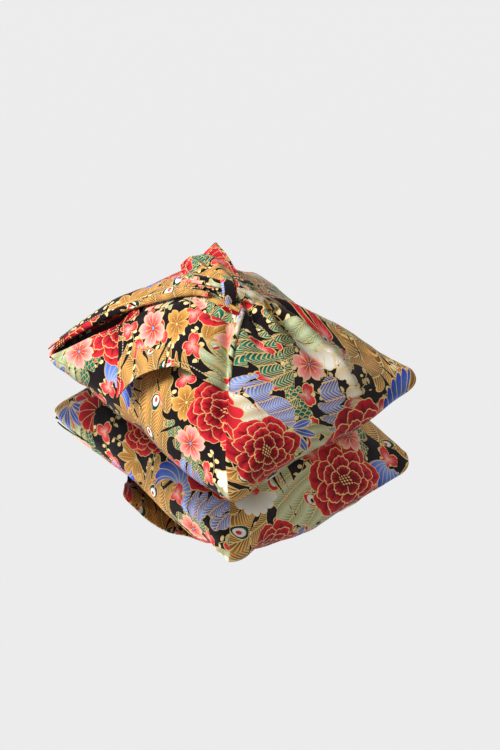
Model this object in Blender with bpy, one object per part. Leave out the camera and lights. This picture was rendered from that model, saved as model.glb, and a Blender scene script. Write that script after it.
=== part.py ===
"""A furoshiki wrap: a square cloth folded round a soft square bundle and knotted on top.

The wrap is one piece of cloth with nothing sewn to it, so it is one solid. Metres, +Z up, with
the floor at z = 0. +X and -X are the sides whose corners of cloth come up to the knot, and -Y
is the side with the loose arched hem. Azimuths are in degrees from +X towards +Y. A level is a
place in SECTIONS: 0 is the foot, 3 the widest rim, 9 the collar under the knot.
"""

import math
from typing import NamedTuple

import bmesh
import bpy
import numpy as np

MM = 0.001

# The bundle's loft
COLUMNS = 82
RINGS_PER_SECTION = 4
COLLAR_RISE = 2.0

# Loose layers of the same cloth, in millimetres: SINK is how deep a covered edge lies in the bundle
CLOTH = 2.5
SINK = 1.6
CLOSE_GAP = 3.0

# Middle of the finished wrap in the tables' axes, so that its box stands centred on the origin
BOX_MIDDLE = (-0.35, -1.7)


class Section(NamedTuple):
    """A level round of the bundle, in millimetres."""

    name: str
    half_x: float
    half_y: float
    squareness: float
    corner_reach: float
    side_height: float
    corner_height: float


class Uneven(NamedTuple):
    """A side or corner that reaches or lifts more or less than the even bundle."""

    name: str
    azimuth: float
    spread: float
    reach_under: float
    reach_rim: float
    reach_above: float
    lift_rim: float
    lift_above: float


class Fold(NamedTuple):
    """A fold along three (azimuth, level) stations, with its rise at each and its two widths."""

    name: str
    start: tuple
    middle: tuple
    end: tuple
    rise: tuple
    width_before: float
    width_after: float


class Edge(NamedTuple):
    """A station along the free edge of a loose layer, and how far the edge stands off there."""

    name: str
    azimuth: float
    level: float
    stand_off: float


SECTIONS = (
    Section("foot", 114, 88, 4.0, -8, 0, 0),
    Section("under", 127, 101, 4.6, -4, 8, 9),
    Section("hang", 140, 112, 5.5, 4, 23, 25),
    Section("rim", 144, 118, 6.5, 10, 39, 41),
    Section("side", 139, 115, 5.5, 3, 57, 53),
    Section("shoulder", 123, 102, 4.5, -4, 78, 69),
    Section("slope", 98, 80, 3.6, -6, 97, 88),
    Section("crown", 70, 57, 3.0, -4, 113, 106),
    Section("neck", 42, 34, 2.4, 0, 125, 121),
    Section("collar", 20, 17, 2.0, 0, 132, 131),
)

# Where the four corners point, and how wide each one is
CORNERS = (-41, 40, 139, 220)
CORNER_SPREAD = 9

# How far each kind of unevenness is felt at the heights of the even sections
HEIGHTS = (0, 8, 23, 39, 57, 78, 97, 113, 132)
FELT_UNDER = (0.4, 0.8, 1, 0.25, 0, 0, 0, 0, 0)
FELT_RIM = (0, 0.1, 0.5, 1, 0.7, 0, 0, 0, 0)
FELT_ABOVE = (0, 0, 0, 0, 0.4, 1, 1, 0.6, 0)

UNEVEN = (
    Uneven("left_tip", 219, 7, 0, 8, 4, -4, 1),
    Uneven("left_face", 240, 18, 0, -7.5, -10.5, -1, 0),
    Uneven("front_tip", -40, 6, 2, 10, 1, -3, -2),
    Uneven("front", -50, 20, 8.5, -13, -1.5, 0, 0),
    Uneven("front_right", -26, 13, -4, -6, -6, 0, -2),
    Uneven("right_low", -6, 20, -16, 3, 3, 3, 0),
    Uneven("right", 36, 16, -14, 6, 5, 9, 2),
    Uneven("right_back", 88, 34, 0, 0, -10, 0, -3),
    Uneven("hem_face", 283, 24, 0, 0, -2, 0, 0),
    Uneven("hem_side", 264, 16, -2.5, -5, -5.5, 0, 0),
)

FOLDS = (
    Fold("front_rolled_edge", (344, 8.35), (322, 7.0), (319, 3.5), (3, 5, 4), 4, 20),
    Fold("valley_by_front", (357, 8.5), (351, 7.9), (343, 7.0), (-4, -5, -1), 5, 5),
    Fold("middle_pleat", (20, 8.3), (4, 7.4), (-3, 6.5), (3, 5, 1), 7, 7),
    Fold("deep_valley", (30, 8.2), (17, 7.1), (15, 5.6), (-4, -7, -2), 6, 6),
    Fold("upper_pleat", (45, 8.2), (26, 7.0), (21, 5.4), (3, 5, 3), 6, 8),
    Fold("right_valley", (52, 8.0), (38, 6.6), (33, 5.2), (-3, -4, -1), 6, 6),
    Fold("tan_pleat", (24, 6.2), (20, 5.5), (19, 4.3), (0, 3, 1), 7, 7),
    Fold("right_rolled_edge", (64, 8.4), (50, 6.6), (42, 3.7), (2, 4, 3), 18, 4),
    Fold("back_rolled_edge", (116, 8.4), (133, 6.6), (139, 3.7), (2, 4, 3), 4, 18),
    Fold("back_valley", (146, 8.2), (151, 7.1), (153, 5.7), (-3, -5, -1), 6, 6),
    Fold("back_pleat", (160, 8.3), (163, 7.2), (164, 5.8), (2, 4, 1), 7, 7),
    Fold("left_valley", (176, 8.2), (176, 7.2), (175, 5.9), (-4, -6, -1), 6, 6),
    Fold("left_pleat", (192, 8.2), (189, 7.2), (187, 5.9), (2, 4, 1), 7, 7),
    Fold("pocket", (213, 7.0), (218.5, 5.3), (220.3, 3.7), (-1, -10, -7), 6, 7),
)

# Stations along a fold that its relief is measured from
FOLD_STATIONS = 24

# The loose panel on the -Y side, along its free left edge, round its corner and along its arched hem
HEM = (
    Edge("under_border", 213, 5.85, 0.5),
    Edge("left_top", 227.5, 5.6, 1),
    Edge("left_middle", 237, 5.2, 2),
    Edge("left_low", 244.5, 4.8, 3.5),
    Edge("left_turn", 250, 4.4, 5.5),
    Edge("left_corner", 255, 4.1, 8),
    Edge("corner", 261, 3.9, 15),
    Edge("rises", 263.8, 4.25, 17),
    Edge("left_arch", 267.5, 4.7, 17.5),
    Edge("arch", 274, 5.15, 17.5),
    Edge("high_arch", 282.5, 5.6, 15.5),
    Edge("top", 289, 5.9, 12),
    Edge("right_arch", 296, 6.0, 8),
    Edge("falls", 306.5, 6.0, 4),
    Edge("right_end", 321, 6.1, 1),
)
PANEL_TOP = 8.4
PANEL_GRID = (29, 9)
PANEL_LEAN = 6.5
# How fast the panel settles on the bundle above its hem
PANEL_SETTLE = 1.5
# Shares of the panel over which it rises out of the bundle at its left, its top and its right
PANEL_FADES = (0.04, 0.2, 0.05)

# The flap that stands over the pocket, along its free edge from the knot to the left tip
FLAP_EDGE = (
    Edge("knot", 217, 8.7, 1),
    Edge("neck", 211, 7.7, 1.5),
    Edge("crown", 211, 6.7, 1.5),
    Edge("slope", 212.5, 5.9, 2),
    Edge("shoulder", 214.3, 5.2, 2.5),
    Edge("side", 216, 4.4, 2.5),
    Edge("tip", 219, 3.4, 1.5),
)
FLAP_SWEEP = -26
FLAP_FADE = 0.35

# The fold of the front cloth that stands on the other side of the pocket
CORNER_EDGE = (
    Edge("tip", 221.5, 3.35, 0.5),
    Edge("side", 222.5, 4.1, 2),
    Edge("shoulder", 222.5, 5.0, 2),
    Edge("top", 220.5, 5.7, 1),
    Edge("under_flap", 212, 6.4, 0),
)
CORNER_SWEEP = 18
CORNER_FADE = 0.6

# Both folds beside the pocket: columns and rows, and how fast they settle on the bundle
EDGE_FOLD_GRID = (9, 18)
EDGE_FOLD_SINK_SHARE = 0.3
EDGE_FOLD_SETTLE = 1.5

# The rolled border of the flap, with the height of its middle over the bundle
FLAP_BORDER = (
    Edge("knot", 250, 9.0, 4),
    Edge("collar", 216, 8.4, 4),
    Edge("neck", 213, 7.85, 4),
    Edge("crown", 212.5, 6.85, 4),
    Edge("slope", 213, 6.0, 4),
    Edge("shoulder", 214.3, 5.3, 4),
    Edge("side", 217.2, 4.5, 4),
    Edge("rim", 218.8, 3.9, 2.5),
    Edge("tip", 219.5, 3.4, -3),
)
BORDER_SECTION = (4.2, 3.4)

# The narrow roll from the knot down the front rolled edge, likewise
FRONT_BORDER = (
    Edge("knot", 346, 8.5, 4),
    Edge("neck", 333, 7.95, 5),
    Edge("slope", 325.5, 7.3, 5.5),
    Edge("crown", 322, 6.8, 5.5),
    Edge("end", 320.5, 6.4, 3),
)
FRONT_BORDER_SECTION = (2.6, 2.6)

# The knot: centre and radii of its body, then the routes of the cloth wound through it
KNOT_CENTRE = (4, 8, 134)
KNOT_RADII = (19, 15, 10.5)
KNOT_LOBES = 5
KNOT_LOBE_DEPTH = 0.07
LOOP_ROUTE = ((-18, 11, 132), (-8, 4, 142), (3, -3, 143.5), (12, -9, 139), (16, -11, 129))
LOOP_SECTION = (6.5, 4.2)
TWIST_ROUTE = ((-58, -12, 118), (-40, -9, 127), (-22, -5, 134), (-4, 0, 138))
TWIST_SECTION = (7.0, 7.0)

# Two narrow rolls under the knot
UPPER_ROLL_ROUTE = ((-10.4, -16.8, 129.2), (-1, -17, 131), (9, -14, 132), (19, -12, 132), (28, -10, 131))
LOWER_ROLL_ROUTE = ((0, -18, 129), (9, -17, 129.5), (17, -15, 129.5), (25, -13, 129), (31, -12, 127.5))
NARROW_SECTION = (3.0, 2.6)

# How far a roll of cloth has narrowed at its ends
ROLL_END_SHARE = 0.7
THICK_ROLL_GRID = (14, 5)
THIN_ROLL_GRID = (8, 3)

# Loose ends: each row runs across the cloth, the first at the knot and the last at the free end
BACK_END = (
    ((-12, -8, 135), (-10, -2, 141), (-8, 3, 143), (-4, 8, 142), (3, 14, 135)),
    ((-42, -12, 131), (-38, -2, 137), (-33, 6, 138), (-28, 14, 140), (-14, 24, 136)),
    ((-60, -7, 128), (-57, 4, 135), (-50, 11, 138), (-42, 20, 139), (-24, 28, 137)),
    ((-72, 1, 127.5), (-72, 10, 131), (-68, 17, 134), (-55, 23, 137), (-31, 30, 138)),
)
BACK_TIP = (
    ((-64, 17, 131), (-46, 23, 134), (-26, 31, 133)),
    ((-61.5, 25, 138.5), (-51, 29, 141), (-42, 34, 140)),
    ((-57.8, 32.3, 146.3), (-57, 33, 147), (-56, 33.4, 146.3)),
)
FRONT_END = (
    ((7, 3, 142), (12, 0, 142), (15, -2, 137)),
    ((14, 12, 139), (20, 7, 139), (25, 3, 133)),
    ((27, 20, 132), (31, 16, 132.5), (33, 13, 127)),
    ((35, 26, 125), (37, 25, 125), (38, 23, 123)),
)
END_STEPS = 3

CLOTH_RED = (0.45, 0.10, 0.08, 1.0)
CLOTH_ROUGHNESS = 0.7
SHARP_ANGLE = math.radians(50)


def clear_scene():
    """Remove every object that the file starts with."""
    for item in list(bpy.data.objects):
        bpy.data.objects.remove(item, do_unlink=True)


def turn_between(angle, other):
    """Shortest turn from one azimuth to another, in degrees."""
    return (angle - other + 180) % 360 - 180


def smooth(value):
    """Ease a value from 0 to 1."""
    held = np.clip(value, 0, 1)
    return held * held * (3 - 2 * held)


def bell(distance, width):
    """A soft bump of height 1 at no distance."""
    return np.exp(-((distance / width) ** 2))


def section_ring(section, azimuth):
    """Points of one section at the given azimuths, in millimetres."""
    angle = np.radians(azimuth)
    power = section.squareness
    x_share = np.abs(np.cos(angle) / section.half_x) ** power
    y_share = np.abs(np.sin(angle) / section.half_y) ** power
    reach = (x_share + y_share) ** (-1 / power)
    corner = np.max([bell(turn_between(azimuth, at), CORNER_SPREAD) for at in CORNERS], axis=0)
    reach = reach + section.corner_reach * corner
    height = section.side_height + (section.corner_height - section.side_height) * corner
    under = np.interp(section.side_height, HEIGHTS, FELT_UNDER)
    rim = np.interp(section.side_height, HEIGHTS, FELT_RIM)
    above = np.interp(section.side_height, HEIGHTS, FELT_ABOVE)
    lifted = rim + 0.5 * under * (section.side_height > 0)
    for row in UNEVEN:
        share = bell(turn_between(azimuth, row.azimuth), row.spread)
        reach = reach + share * (row.reach_under * under + row.reach_rim * rim + row.reach_above * above)
        height = height + share * (row.lift_rim * lifted + row.lift_above * above)
    return np.stack([reach * np.cos(angle), reach * np.sin(angle), height], axis=-1)


def bundle_point(azimuth, level):
    """Points on the bundle without its folds: a spline through the sections at each azimuth."""
    azimuth, level = np.broadcast_arrays(np.asarray(azimuth, float), np.asarray(level, float))
    rings = np.array([section_ring(section, azimuth) for section in SECTIONS])
    last = len(SECTIONS) - 1
    below = np.clip(np.floor(level).astype(int), 0, last - 1)

    def at(index):
        held = np.clip(index, 0, last)[None, ..., None]
        return np.take_along_axis(rings, np.broadcast_to(held, (1,) + rings.shape[1:]), axis=0)[0]

    step = (level - below)[..., None]
    first, second, third, fourth = at(below - 1), at(below), at(below + 1), at(below + 2)
    point = 0.5 * (
        2 * second
        + (third - first) * step
        + (2 * first - 5 * second + 4 * third - fourth) * step**2
        + (3 * second - first - 3 * third + fourth) * step**3
    )
    point[..., 2] = np.maximum(point[..., 2], 0)
    return point


def bundle_normal(azimuth, level):
    """Outward directions of the bundle without its folds."""
    small = 0.05
    up = np.minimum(level + small, len(SECTIONS) - 1)
    down = np.maximum(level - small, 0)
    along = bundle_point(azimuth + 1, level) - bundle_point(azimuth - 1, level)
    upward = bundle_point(azimuth, up) - bundle_point(azimuth, down)
    normal = np.cross(along, upward)
    return normal / np.linalg.norm(normal, axis=-1, keepdims=True)


def three_point_curve(start, middle, end, share):
    """A parabola through three values at shares 0, 0.5 and 1."""
    early = 2 * (share - 0.5) * (share - 1)
    centre = 4 * share * (1 - share)
    late = 2 * share * (share - 0.5)
    return start * early + middle * centre + end * late


def fold_relief(azimuth, level, points):
    """How far the folds push the points outwards, in millimetres."""
    relief = np.zeros(points.shape[:-1])
    share = np.linspace(0, 1, FOLD_STATIONS)
    for fold in FOLDS:
        path_azimuth = three_point_curve(fold.start[0], fold.middle[0], fold.end[0], share)
        path_level = three_point_curve(fold.start[1], fold.middle[1], fold.end[1], share)
        rise = three_point_curve(*fold.rise, share)
        path = bundle_point(path_azimuth, path_level)
        nearest = np.full(relief.shape, np.inf)
        amount = np.zeros(relief.shape)
        for station in range(FOLD_STATIONS):
            distance = np.linalg.norm(points - path[station], axis=-1)
            after = turn_between(azimuth, path_azimuth[station]) > 0
            width = np.where(after, fold.width_after, fold.width_before)
            closer = distance < nearest
            nearest = np.where(closer, distance, nearest)
            amount = np.where(closer, rise[station] * bell(distance, width), amount)
        relief += amount
    return relief


def folded_point(azimuth, level):
    """Points on the bundle with its folds."""
    points = bundle_point(azimuth, level)
    fade = smooth(level / 0.8)
    relief = fold_relief(azimuth, level, points) * fade
    return points + bundle_normal(azimuth, level) * relief[..., None]


def table_values(edges, count):
    """Azimuth, level and stand-off at even steps along a table of edge stations."""
    stations = np.linspace(0, len(edges) - 1, count)
    places = np.arange(len(edges))
    azimuth = np.interp(stations, places, [edge.azimuth for edge in edges])
    level = np.interp(stations, places, [edge.level for edge in edges])
    stand_off = np.interp(stations, places, [edge.stand_off for edge in edges])
    return azimuth, level, stand_off


def new_object(name, mesh_data, collection):
    """Link a mesh object with the given vertices, edges and faces, its faces turned outwards."""
    mesh = bpy.data.meshes.new(name)
    mesh.from_pydata(*mesh_data)
    shape = bmesh.new()
    shape.from_mesh(mesh)
    bmesh.ops.recalc_face_normals(shape, faces=shape.faces)
    shape.to_mesh(mesh)
    shape.free()
    item = bpy.data.objects.new(name, mesh)
    collection.objects.link(item)
    return item


def to_metres(points):
    """Flatten a block of points and move it from the tables' axes to the finished ones."""
    flat = np.asarray(points, float).reshape(-1, 3)
    return (flat - (BOX_MIDDLE[0], BOX_MIDDLE[1], 0)) * MM


def grid_faces(rows, columns, closed, offset=0):
    """Quads of a grid of points, joined round its columns when closed."""
    faces = []
    for row in range(rows - 1):
        for column in range(columns if closed else columns - 1):
            after = (column + 1) % columns
            low = offset + row * columns
            high = low + columns
            faces.append((low + column, low + after, high + after, high + column))
    return faces


def bundle_mesh():
    """The closed bundle: its rings, a flat foot and a closed collar."""
    count = (len(SECTIONS) - 1) * RINGS_PER_SECTION + 1
    azimuth = np.arange(COLUMNS) * 360 / COLUMNS
    level = np.linspace(0, len(SECTIONS) - 1, count)
    azimuth_grid, level_grid = np.meshgrid(azimuth, level)
    points = folded_point(azimuth_grid, level_grid)
    foot = (0, 0, 0)
    top = (0, 0, SECTIONS[-1].side_height + COLLAR_RISE)
    vertices = np.vstack([to_metres(points), to_metres([foot, top])])
    faces = grid_faces(count, COLUMNS, closed=True)
    foot_index = count * COLUMNS
    for column in range(COLUMNS):
        after = (column + 1) % COLUMNS
        faces.append((foot_index, after, column))
        high = (count - 1) * COLUMNS
        faces.append((high + column, high + after, foot_index + 1))
    return vertices.tolist(), [], faces


def layer_mesh(outer, inner):
    """A closed layer of cloth between two grids of points."""
    rows, columns = outer.shape[:2]
    vertices = np.vstack([to_metres(outer), to_metres(inner)])
    back = rows * columns
    faces = grid_faces(rows, columns, closed=False)
    faces += [tuple(reversed(face)) for face in grid_faces(rows, columns, closed=False, offset=back)]
    border = list(range(columns))
    border += [row * columns + columns - 1 for row in range(1, rows)]
    border += [(rows - 1) * columns + column for column in range(columns - 2, -1, -1)]
    border += [row * columns for row in range(rows - 2, 0, -1)]
    for index, here in enumerate(border):
        there = border[(index + 1) % len(border)]
        faces.append((here, here + back, there + back, there))
    return vertices.tolist(), [], faces


def lifted_layer(azimuth, level, gap, shown):
    """A layer over the folded bundle: gap is the space under it, shown is 0 where it is sunk in."""
    base = folded_point(azimuth, level)
    normal = bundle_normal(azimuth, level)
    outer = gap + CLOTH * shown - SINK * (1 - shown)
    inner = gap - SINK * (1 - smooth(gap / CLOSE_GAP)) - 2 * SINK * (1 - shown)
    return base + normal * outer[..., None], base + normal * inner[..., None]


def panel_mesh():
    """The loose panel on the -Y side, free along its left edge and its arched hem."""
    columns, rows = PANEL_GRID
    left_fade, top_fade, right_fade = PANEL_FADES
    hem_azimuth, hem_level, stand_off = table_values(HEM, columns)
    across = np.linspace(0, 1, columns)[None, :]
    down = np.linspace(0, 1, rows)[:, None]
    level = PANEL_TOP + (hem_level[None, :] - PANEL_TOP) * down
    # Above the hem the panel leans with the rolled edge that covers its right side
    lean = across * np.maximum(level - hem_level[None, :], 0)
    azimuth = hem_azimuth[None, :] + lean * PANEL_LEAN
    shown = smooth(across / left_fade) * smooth(down / top_fade) * smooth((1 - across) / right_fade)
    gap = stand_off[None, :] * down**PANEL_SETTLE
    return layer_mesh(*lifted_layer(azimuth, level, gap, shown))


def edge_fold_mesh(edges, sweep, fade):
    """A fold beside the pocket, free along its edge and sunk in where it has swept away from it."""
    columns, rows = EDGE_FOLD_GRID
    edge_azimuth, edge_level, stand_off = table_values(edges, rows)
    across = np.linspace(0, 1, columns)[None, :]
    azimuth = edge_azimuth[:, None] + sweep * across
    level = np.broadcast_to(edge_level[:, None], azimuth.shape)
    shown = smooth((1 - across) / fade)
    gap = stand_off[:, None] * (1 - across) ** EDGE_FOLD_SETTLE
    base = bundle_point(azimuth, level)
    normal = bundle_normal(azimuth, level)
    outer = gap + CLOTH * shown - SINK * (1 - shown)
    inner = gap - CLOTH * (1 - shown) - SINK * smooth(across / EDGE_FOLD_SINK_SHARE)
    return layer_mesh(base + normal * outer[..., None], base + normal * inner[..., None])


def spline_rows(rows, steps):
    """Points between a few rows of points, on a smooth curve through them."""
    rows = np.asarray(rows, float)
    last = len(rows) - 1
    result = []
    for place in np.linspace(0, last, last * steps + 1):
        low = min(int(place), last - 1)
        part = place - low
        first, second = rows[max(low - 1, 0)], rows[low]
        third, fourth = rows[low + 1], rows[min(low + 2, last)]
        slope_in = (third - first) / 2
        slope_out = (fourth - second) / 2
        bend = 3 * (third - second) - 2 * slope_in - slope_out
        settle = 2 * (second - third) + slope_in + slope_out
        result.append(second + slope_in * part + bend * part**2 + settle * part**3)
    return np.array(result)


def loose_end_mesh(rows):
    """A loose end of cloth through a few rows of points."""
    lengthwise = spline_rows(rows, END_STEPS)
    middle = spline_rows(lengthwise.transpose(1, 0, 2), END_STEPS).transpose(1, 0, 2)
    across = np.gradient(middle, axis=1)
    along = np.gradient(middle, axis=0)
    normal = np.cross(across, along)
    normal /= np.linalg.norm(normal, axis=-1, keepdims=True)
    half = CLOTH / 2
    return layer_mesh(middle + normal * half, middle - normal * half)


def border_route(stations):
    """Middles of a rolled border at the stations of its table."""
    azimuth, level, height = table_values(stations, len(stations))
    return bundle_point(azimuth, level) + bundle_normal(azimuth, level) * height[:, None]


def roll_mesh(route, section, grid=THIN_ROLL_GRID):
    """A rolled or gathered length of cloth along a route, narrower at both ends."""
    columns, steps = grid
    centres = spline_rows(route, steps)
    tangents = np.gradient(centres, axis=0)
    tangents /= np.linalg.norm(tangents, axis=1, keepdims=True)
    side = np.cross(tangents, (0.0, 0.0, 1.0))
    side /= np.linalg.norm(side, axis=1, keepdims=True)
    over = np.cross(side, tangents)
    turn = np.arange(columns) * 2 * math.pi / columns
    share = np.linspace(0, 1, len(centres))
    swell = ROLL_END_SHARE + (1 - ROLL_END_SHARE) * np.sin(math.pi * share)
    ring = side[:, None, :] * np.cos(turn)[None, :, None] * section[0]
    ring = ring + over[:, None, :] * np.sin(turn)[None, :, None] * section[1]
    points = centres[:, None, :] + ring * swell[:, None, None]
    vertices = np.vstack([to_metres(points), to_metres([centres[0], centres[-1]])])
    faces = grid_faces(len(centres), columns, closed=True)
    first_cap = len(centres) * columns
    last_ring = first_cap - columns
    for column in range(columns):
        after = (column + 1) % columns
        faces.append((first_cap, after, column))
        faces.append((last_ring + column, last_ring + after, first_cap + 1))
    return vertices.tolist(), [], faces


def knot_body_mesh(columns=20, rings=11):
    """The rounded middle of the knot, with shallow lobes where the cloth is gathered."""
    turn = np.arange(columns) * 2 * math.pi / columns
    lift = np.linspace(-0.5, 0.5, rings + 2)[1:-1] * math.pi
    turn_grid, lift_grid = np.meshgrid(turn, lift)
    lobes = 1 + KNOT_LOBE_DEPTH * np.cos(KNOT_LOBES * turn_grid)
    x = KNOT_CENTRE[0] + KNOT_RADII[0] * np.cos(lift_grid) * np.cos(turn_grid) * lobes
    y = KNOT_CENTRE[1] + KNOT_RADII[1] * np.cos(lift_grid) * np.sin(turn_grid) * lobes
    z = KNOT_CENTRE[2] + KNOT_RADII[2] * np.sin(lift_grid)
    low = (KNOT_CENTRE[0], KNOT_CENTRE[1], KNOT_CENTRE[2] - KNOT_RADII[2])
    high = (KNOT_CENTRE[0], KNOT_CENTRE[1], KNOT_CENTRE[2] + KNOT_RADII[2])
    vertices = np.vstack([to_metres(np.stack([x, y, z], axis=-1)), to_metres([low, high])])
    faces = grid_faces(rings, columns, closed=True)
    low_index = rings * columns
    for column in range(columns):
        after = (column + 1) % columns
        faces.append((low_index, after, column))
        top_ring = (rings - 1) * columns
        faces.append((top_ring + column, top_ring + after, low_index + 1))
    return vertices.tolist(), [], faces


def cloth_material():
    """A plain fabric finish for the construction model."""
    material = bpy.data.materials.new("fabric")
    material.use_nodes = True
    shader = material.node_tree.nodes["Principled BSDF"]
    shader.inputs["Base Color"].default_value = CLOTH_RED
    shader.inputs["Roughness"].default_value = CLOTH_ROUGHNESS
    return material


def add_layers(wrap, layers):
    """Join all the layers of a collection to the wrap as one body."""
    for layer in layers.objects:
        layer.hide_render = True
        layer.display_type = "WIRE"
    union = wrap.modifiers.new("join the layers", "BOOLEAN")
    union.operation = "UNION"
    union.solver = "EXACT"
    union.operand_type = "COLLECTION"
    union.collection = layers


def main():
    """Build the wrap."""
    clear_scene()
    scene_collection = bpy.context.scene.collection
    layers = bpy.data.collections.new("joined layers")
    scene_collection.children.link(layers)
    wrap = new_object("furoshiki_wrap", bundle_mesh(), scene_collection)
    parts = (
        ("panel", panel_mesh()),
        ("flap", edge_fold_mesh(FLAP_EDGE, FLAP_SWEEP, FLAP_FADE)),
        ("corner_fold", edge_fold_mesh(CORNER_EDGE, CORNER_SWEEP, CORNER_FADE)),
        ("flap_border", roll_mesh(border_route(FLAP_BORDER), BORDER_SECTION)),
        ("knot_body", knot_body_mesh()),
        ("knot_loop", roll_mesh(LOOP_ROUTE, LOOP_SECTION, THICK_ROLL_GRID)),
        ("knot_twist", roll_mesh(TWIST_ROUTE, TWIST_SECTION, THICK_ROLL_GRID)),
        ("upper_roll", roll_mesh(UPPER_ROLL_ROUTE, NARROW_SECTION)),
        ("lower_roll", roll_mesh(LOWER_ROLL_ROUTE, NARROW_SECTION)),
        ("front_border", roll_mesh(border_route(FRONT_BORDER), FRONT_BORDER_SECTION)),
        ("back_end", loose_end_mesh(BACK_END)),
        ("back_tip", loose_end_mesh(BACK_TIP)),
        ("front_end", loose_end_mesh(FRONT_END)),
    )
    for name, mesh in parts:
        new_object(name, mesh, layers)
    add_layers(wrap, layers)
    wrap.data.materials.append(cloth_material())
    wrap.data.shade_smooth()
    wrap.data.set_sharp_from_angle(angle=SHARP_ANGLE)


main()
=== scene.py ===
"""Looks of a furoshiki wrap: one printed cloth, folded round a soft bundle and knotted on top.

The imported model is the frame. The cloth that shows is laid over it as a few pieces of the same
cloth: the wrapped body, the loose panel with its arched hem, the corner fold at the left, the
flap over the pocket, the knot with its loop, twist and rolls, and the two tied ends. Tables are
in millimetres in the construction's own axes, and every mesh is finished in metres, +Z up.
Azimuths are in degrees from +X towards +Y. A level is a place in SECTIONS: 0 is the foot, 3 the
widest rim and 9 the collar under the knot.
"""

import logging
import math
from dataclasses import dataclass, field
from enum import Enum
from typing import Optional, Sequence, Union

import bmesh
import bpy
import numpy as np
from mathutils import Matrix, Vector


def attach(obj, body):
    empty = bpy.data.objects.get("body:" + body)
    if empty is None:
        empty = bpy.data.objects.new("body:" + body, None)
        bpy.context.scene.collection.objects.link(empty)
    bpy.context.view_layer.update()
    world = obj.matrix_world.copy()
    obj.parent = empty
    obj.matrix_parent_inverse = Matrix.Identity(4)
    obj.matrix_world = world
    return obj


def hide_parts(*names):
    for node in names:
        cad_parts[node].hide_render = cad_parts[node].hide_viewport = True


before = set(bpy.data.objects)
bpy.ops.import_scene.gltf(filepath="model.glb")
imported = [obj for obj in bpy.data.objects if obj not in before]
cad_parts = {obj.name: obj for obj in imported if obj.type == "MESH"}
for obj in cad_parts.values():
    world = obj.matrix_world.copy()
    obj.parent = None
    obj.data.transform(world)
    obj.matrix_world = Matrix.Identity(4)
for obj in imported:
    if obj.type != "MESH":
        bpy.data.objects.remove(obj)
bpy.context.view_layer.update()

LOG = logging.getLogger("furoshiki")

MM = 0.001
ROOT = "root"
CAD_NODE = "furoshiki_wrap"

# Middle of the finished wrap in the tables' axes
BOX_MIDDLE = (-0.35, -1.7)

PRINT_MAP = "print"
EDGE_MAP = "edge"
# Distance in from a free edge, in millimetres, that the edge map gives where there is none, and the
# value it gives where the inside of the pocket and the wrong side of the folds beside it are
# darkened as painted shade
NO_EDGE = 900.0
POCKET_SHADE_INWARD = -50.0
# Points nearer than this become one, in millimetres
MERGE_DISTANCE = 0.02
# Two distances that differ by less than this count as the same, in millimetres
SAME_DISTANCE = 0.01
# Edges that bend more than this stay sharp, in degrees
SHARP_ANGLE = 60
FULL_TURN = 360

Number = Union[int, float]
Pair = tuple[float, float]
Triple = tuple[float, float, float]
Array = np.ndarray
Item = bpy.types.Object
Material = bpy.types.Material


# Shapes


def turn_between(angle: Array, other: Union[Number, Array]) -> Array:
    """Return the shortest turn from other to angle, in degrees."""
    return (angle - other + 180) % 360 - 180


def smooth(value: Union[Number, Array]) -> Array:
    """Ease a value from 0 to 1."""
    held = np.clip(value, 0, 1)
    return held * held * (3 - 2 * held)


def bell(distance: Array, width: Union[Number, Array]) -> Array:
    """Return a soft bump of height 1 at no distance."""
    return np.exp(-((distance / width) ** 2))


def three_point_curve(values: Sequence[Number], share: Array) -> Array:
    """Follow a parabola through three values.

    Args:
        values: The values at shares 0, 0.5 and 1.
        share: Where to read the curve.

    Returns:
        The curve's value at each share.
    """
    early = 2 * (share - 0.5) * (share - 1)
    centre = 4 * share * (1 - share)
    late = 2 * share * (share - 0.5)
    return values[0] * early + values[1] * centre + values[2] * late


def spline_rows(rows: Sequence, count: int) -> Array:
    """Lay points on a smooth curve through a few rows of points.

    Args:
        rows: The rows, first to last.
        count: How many rows to return.

    Returns:
        The denser rows, at even steps of the given ones.
    """
    known = np.asarray(rows, float)
    last = len(known) - 1
    place = np.linspace(0, last, count)
    low = np.minimum(place.astype(int), last - 1)
    part = (place - low).reshape((-1,) + (1,) * (known.ndim - 1))
    first, second = known[np.maximum(low - 1, 0)], known[low]
    third, fourth = known[low + 1], known[np.minimum(low + 2, last)]
    slope_in = (third - first) / 2
    slope_out = (fourth - second) / 2
    bend = 3 * (third - second) - 2 * slope_in - slope_out
    settle = 2 * (second - third) + slope_in + slope_out
    return second + slope_in * part + bend * part**2 + settle * part**3


def unit(vectors: Array) -> Array:
    """Return vectors at length 1."""
    return vectors / np.maximum(np.linalg.norm(vectors, axis=-1, keepdims=True), 1e-9)


@dataclass(frozen=True)
class Section:
    """A level round of the bundle."""

    name: str
    half_x: float
    half_y: float
    squareness: float
    corner_reach: float
    side_height: float
    corner_height: float


@dataclass(frozen=True)
class Uneven:
    """A side or corner that reaches or lifts more or less than the even bundle."""

    name: str
    azimuth: float
    spread: float
    reach_under: float
    reach_rim: float
    reach_above: float
    lift_rim: float
    lift_above: float


@dataclass(frozen=True)
class Fold:
    """A fold along three (azimuth, level) stations.

    Attributes:
        rise: How far it stands out at each station; a trough is below 0.
        width_before: Its width towards lower azimuths.
        width_after: Its width towards higher azimuths.
        tuck: How much of the cloth's width it hides.
    """

    name: str
    start: Pair
    middle: Pair
    end: Pair
    rise: Triple
    width_before: float
    width_after: float
    tuck: float = 0.0

    def path(self, share: Array) -> tuple[Array, Array]:
        """Return the azimuths and levels at shares of the fold's length."""
        azimuth = three_point_curve((self.start[0], self.middle[0], self.end[0]), share)
        level = three_point_curve((self.start[1], self.middle[1], self.end[1]), share)
        return azimuth, level


@dataclass(frozen=True)
class Edge:
    """A station along a free edge, and how far the edge stands off there."""

    name: str
    azimuth: float
    level: float
    stand_off: float


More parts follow.
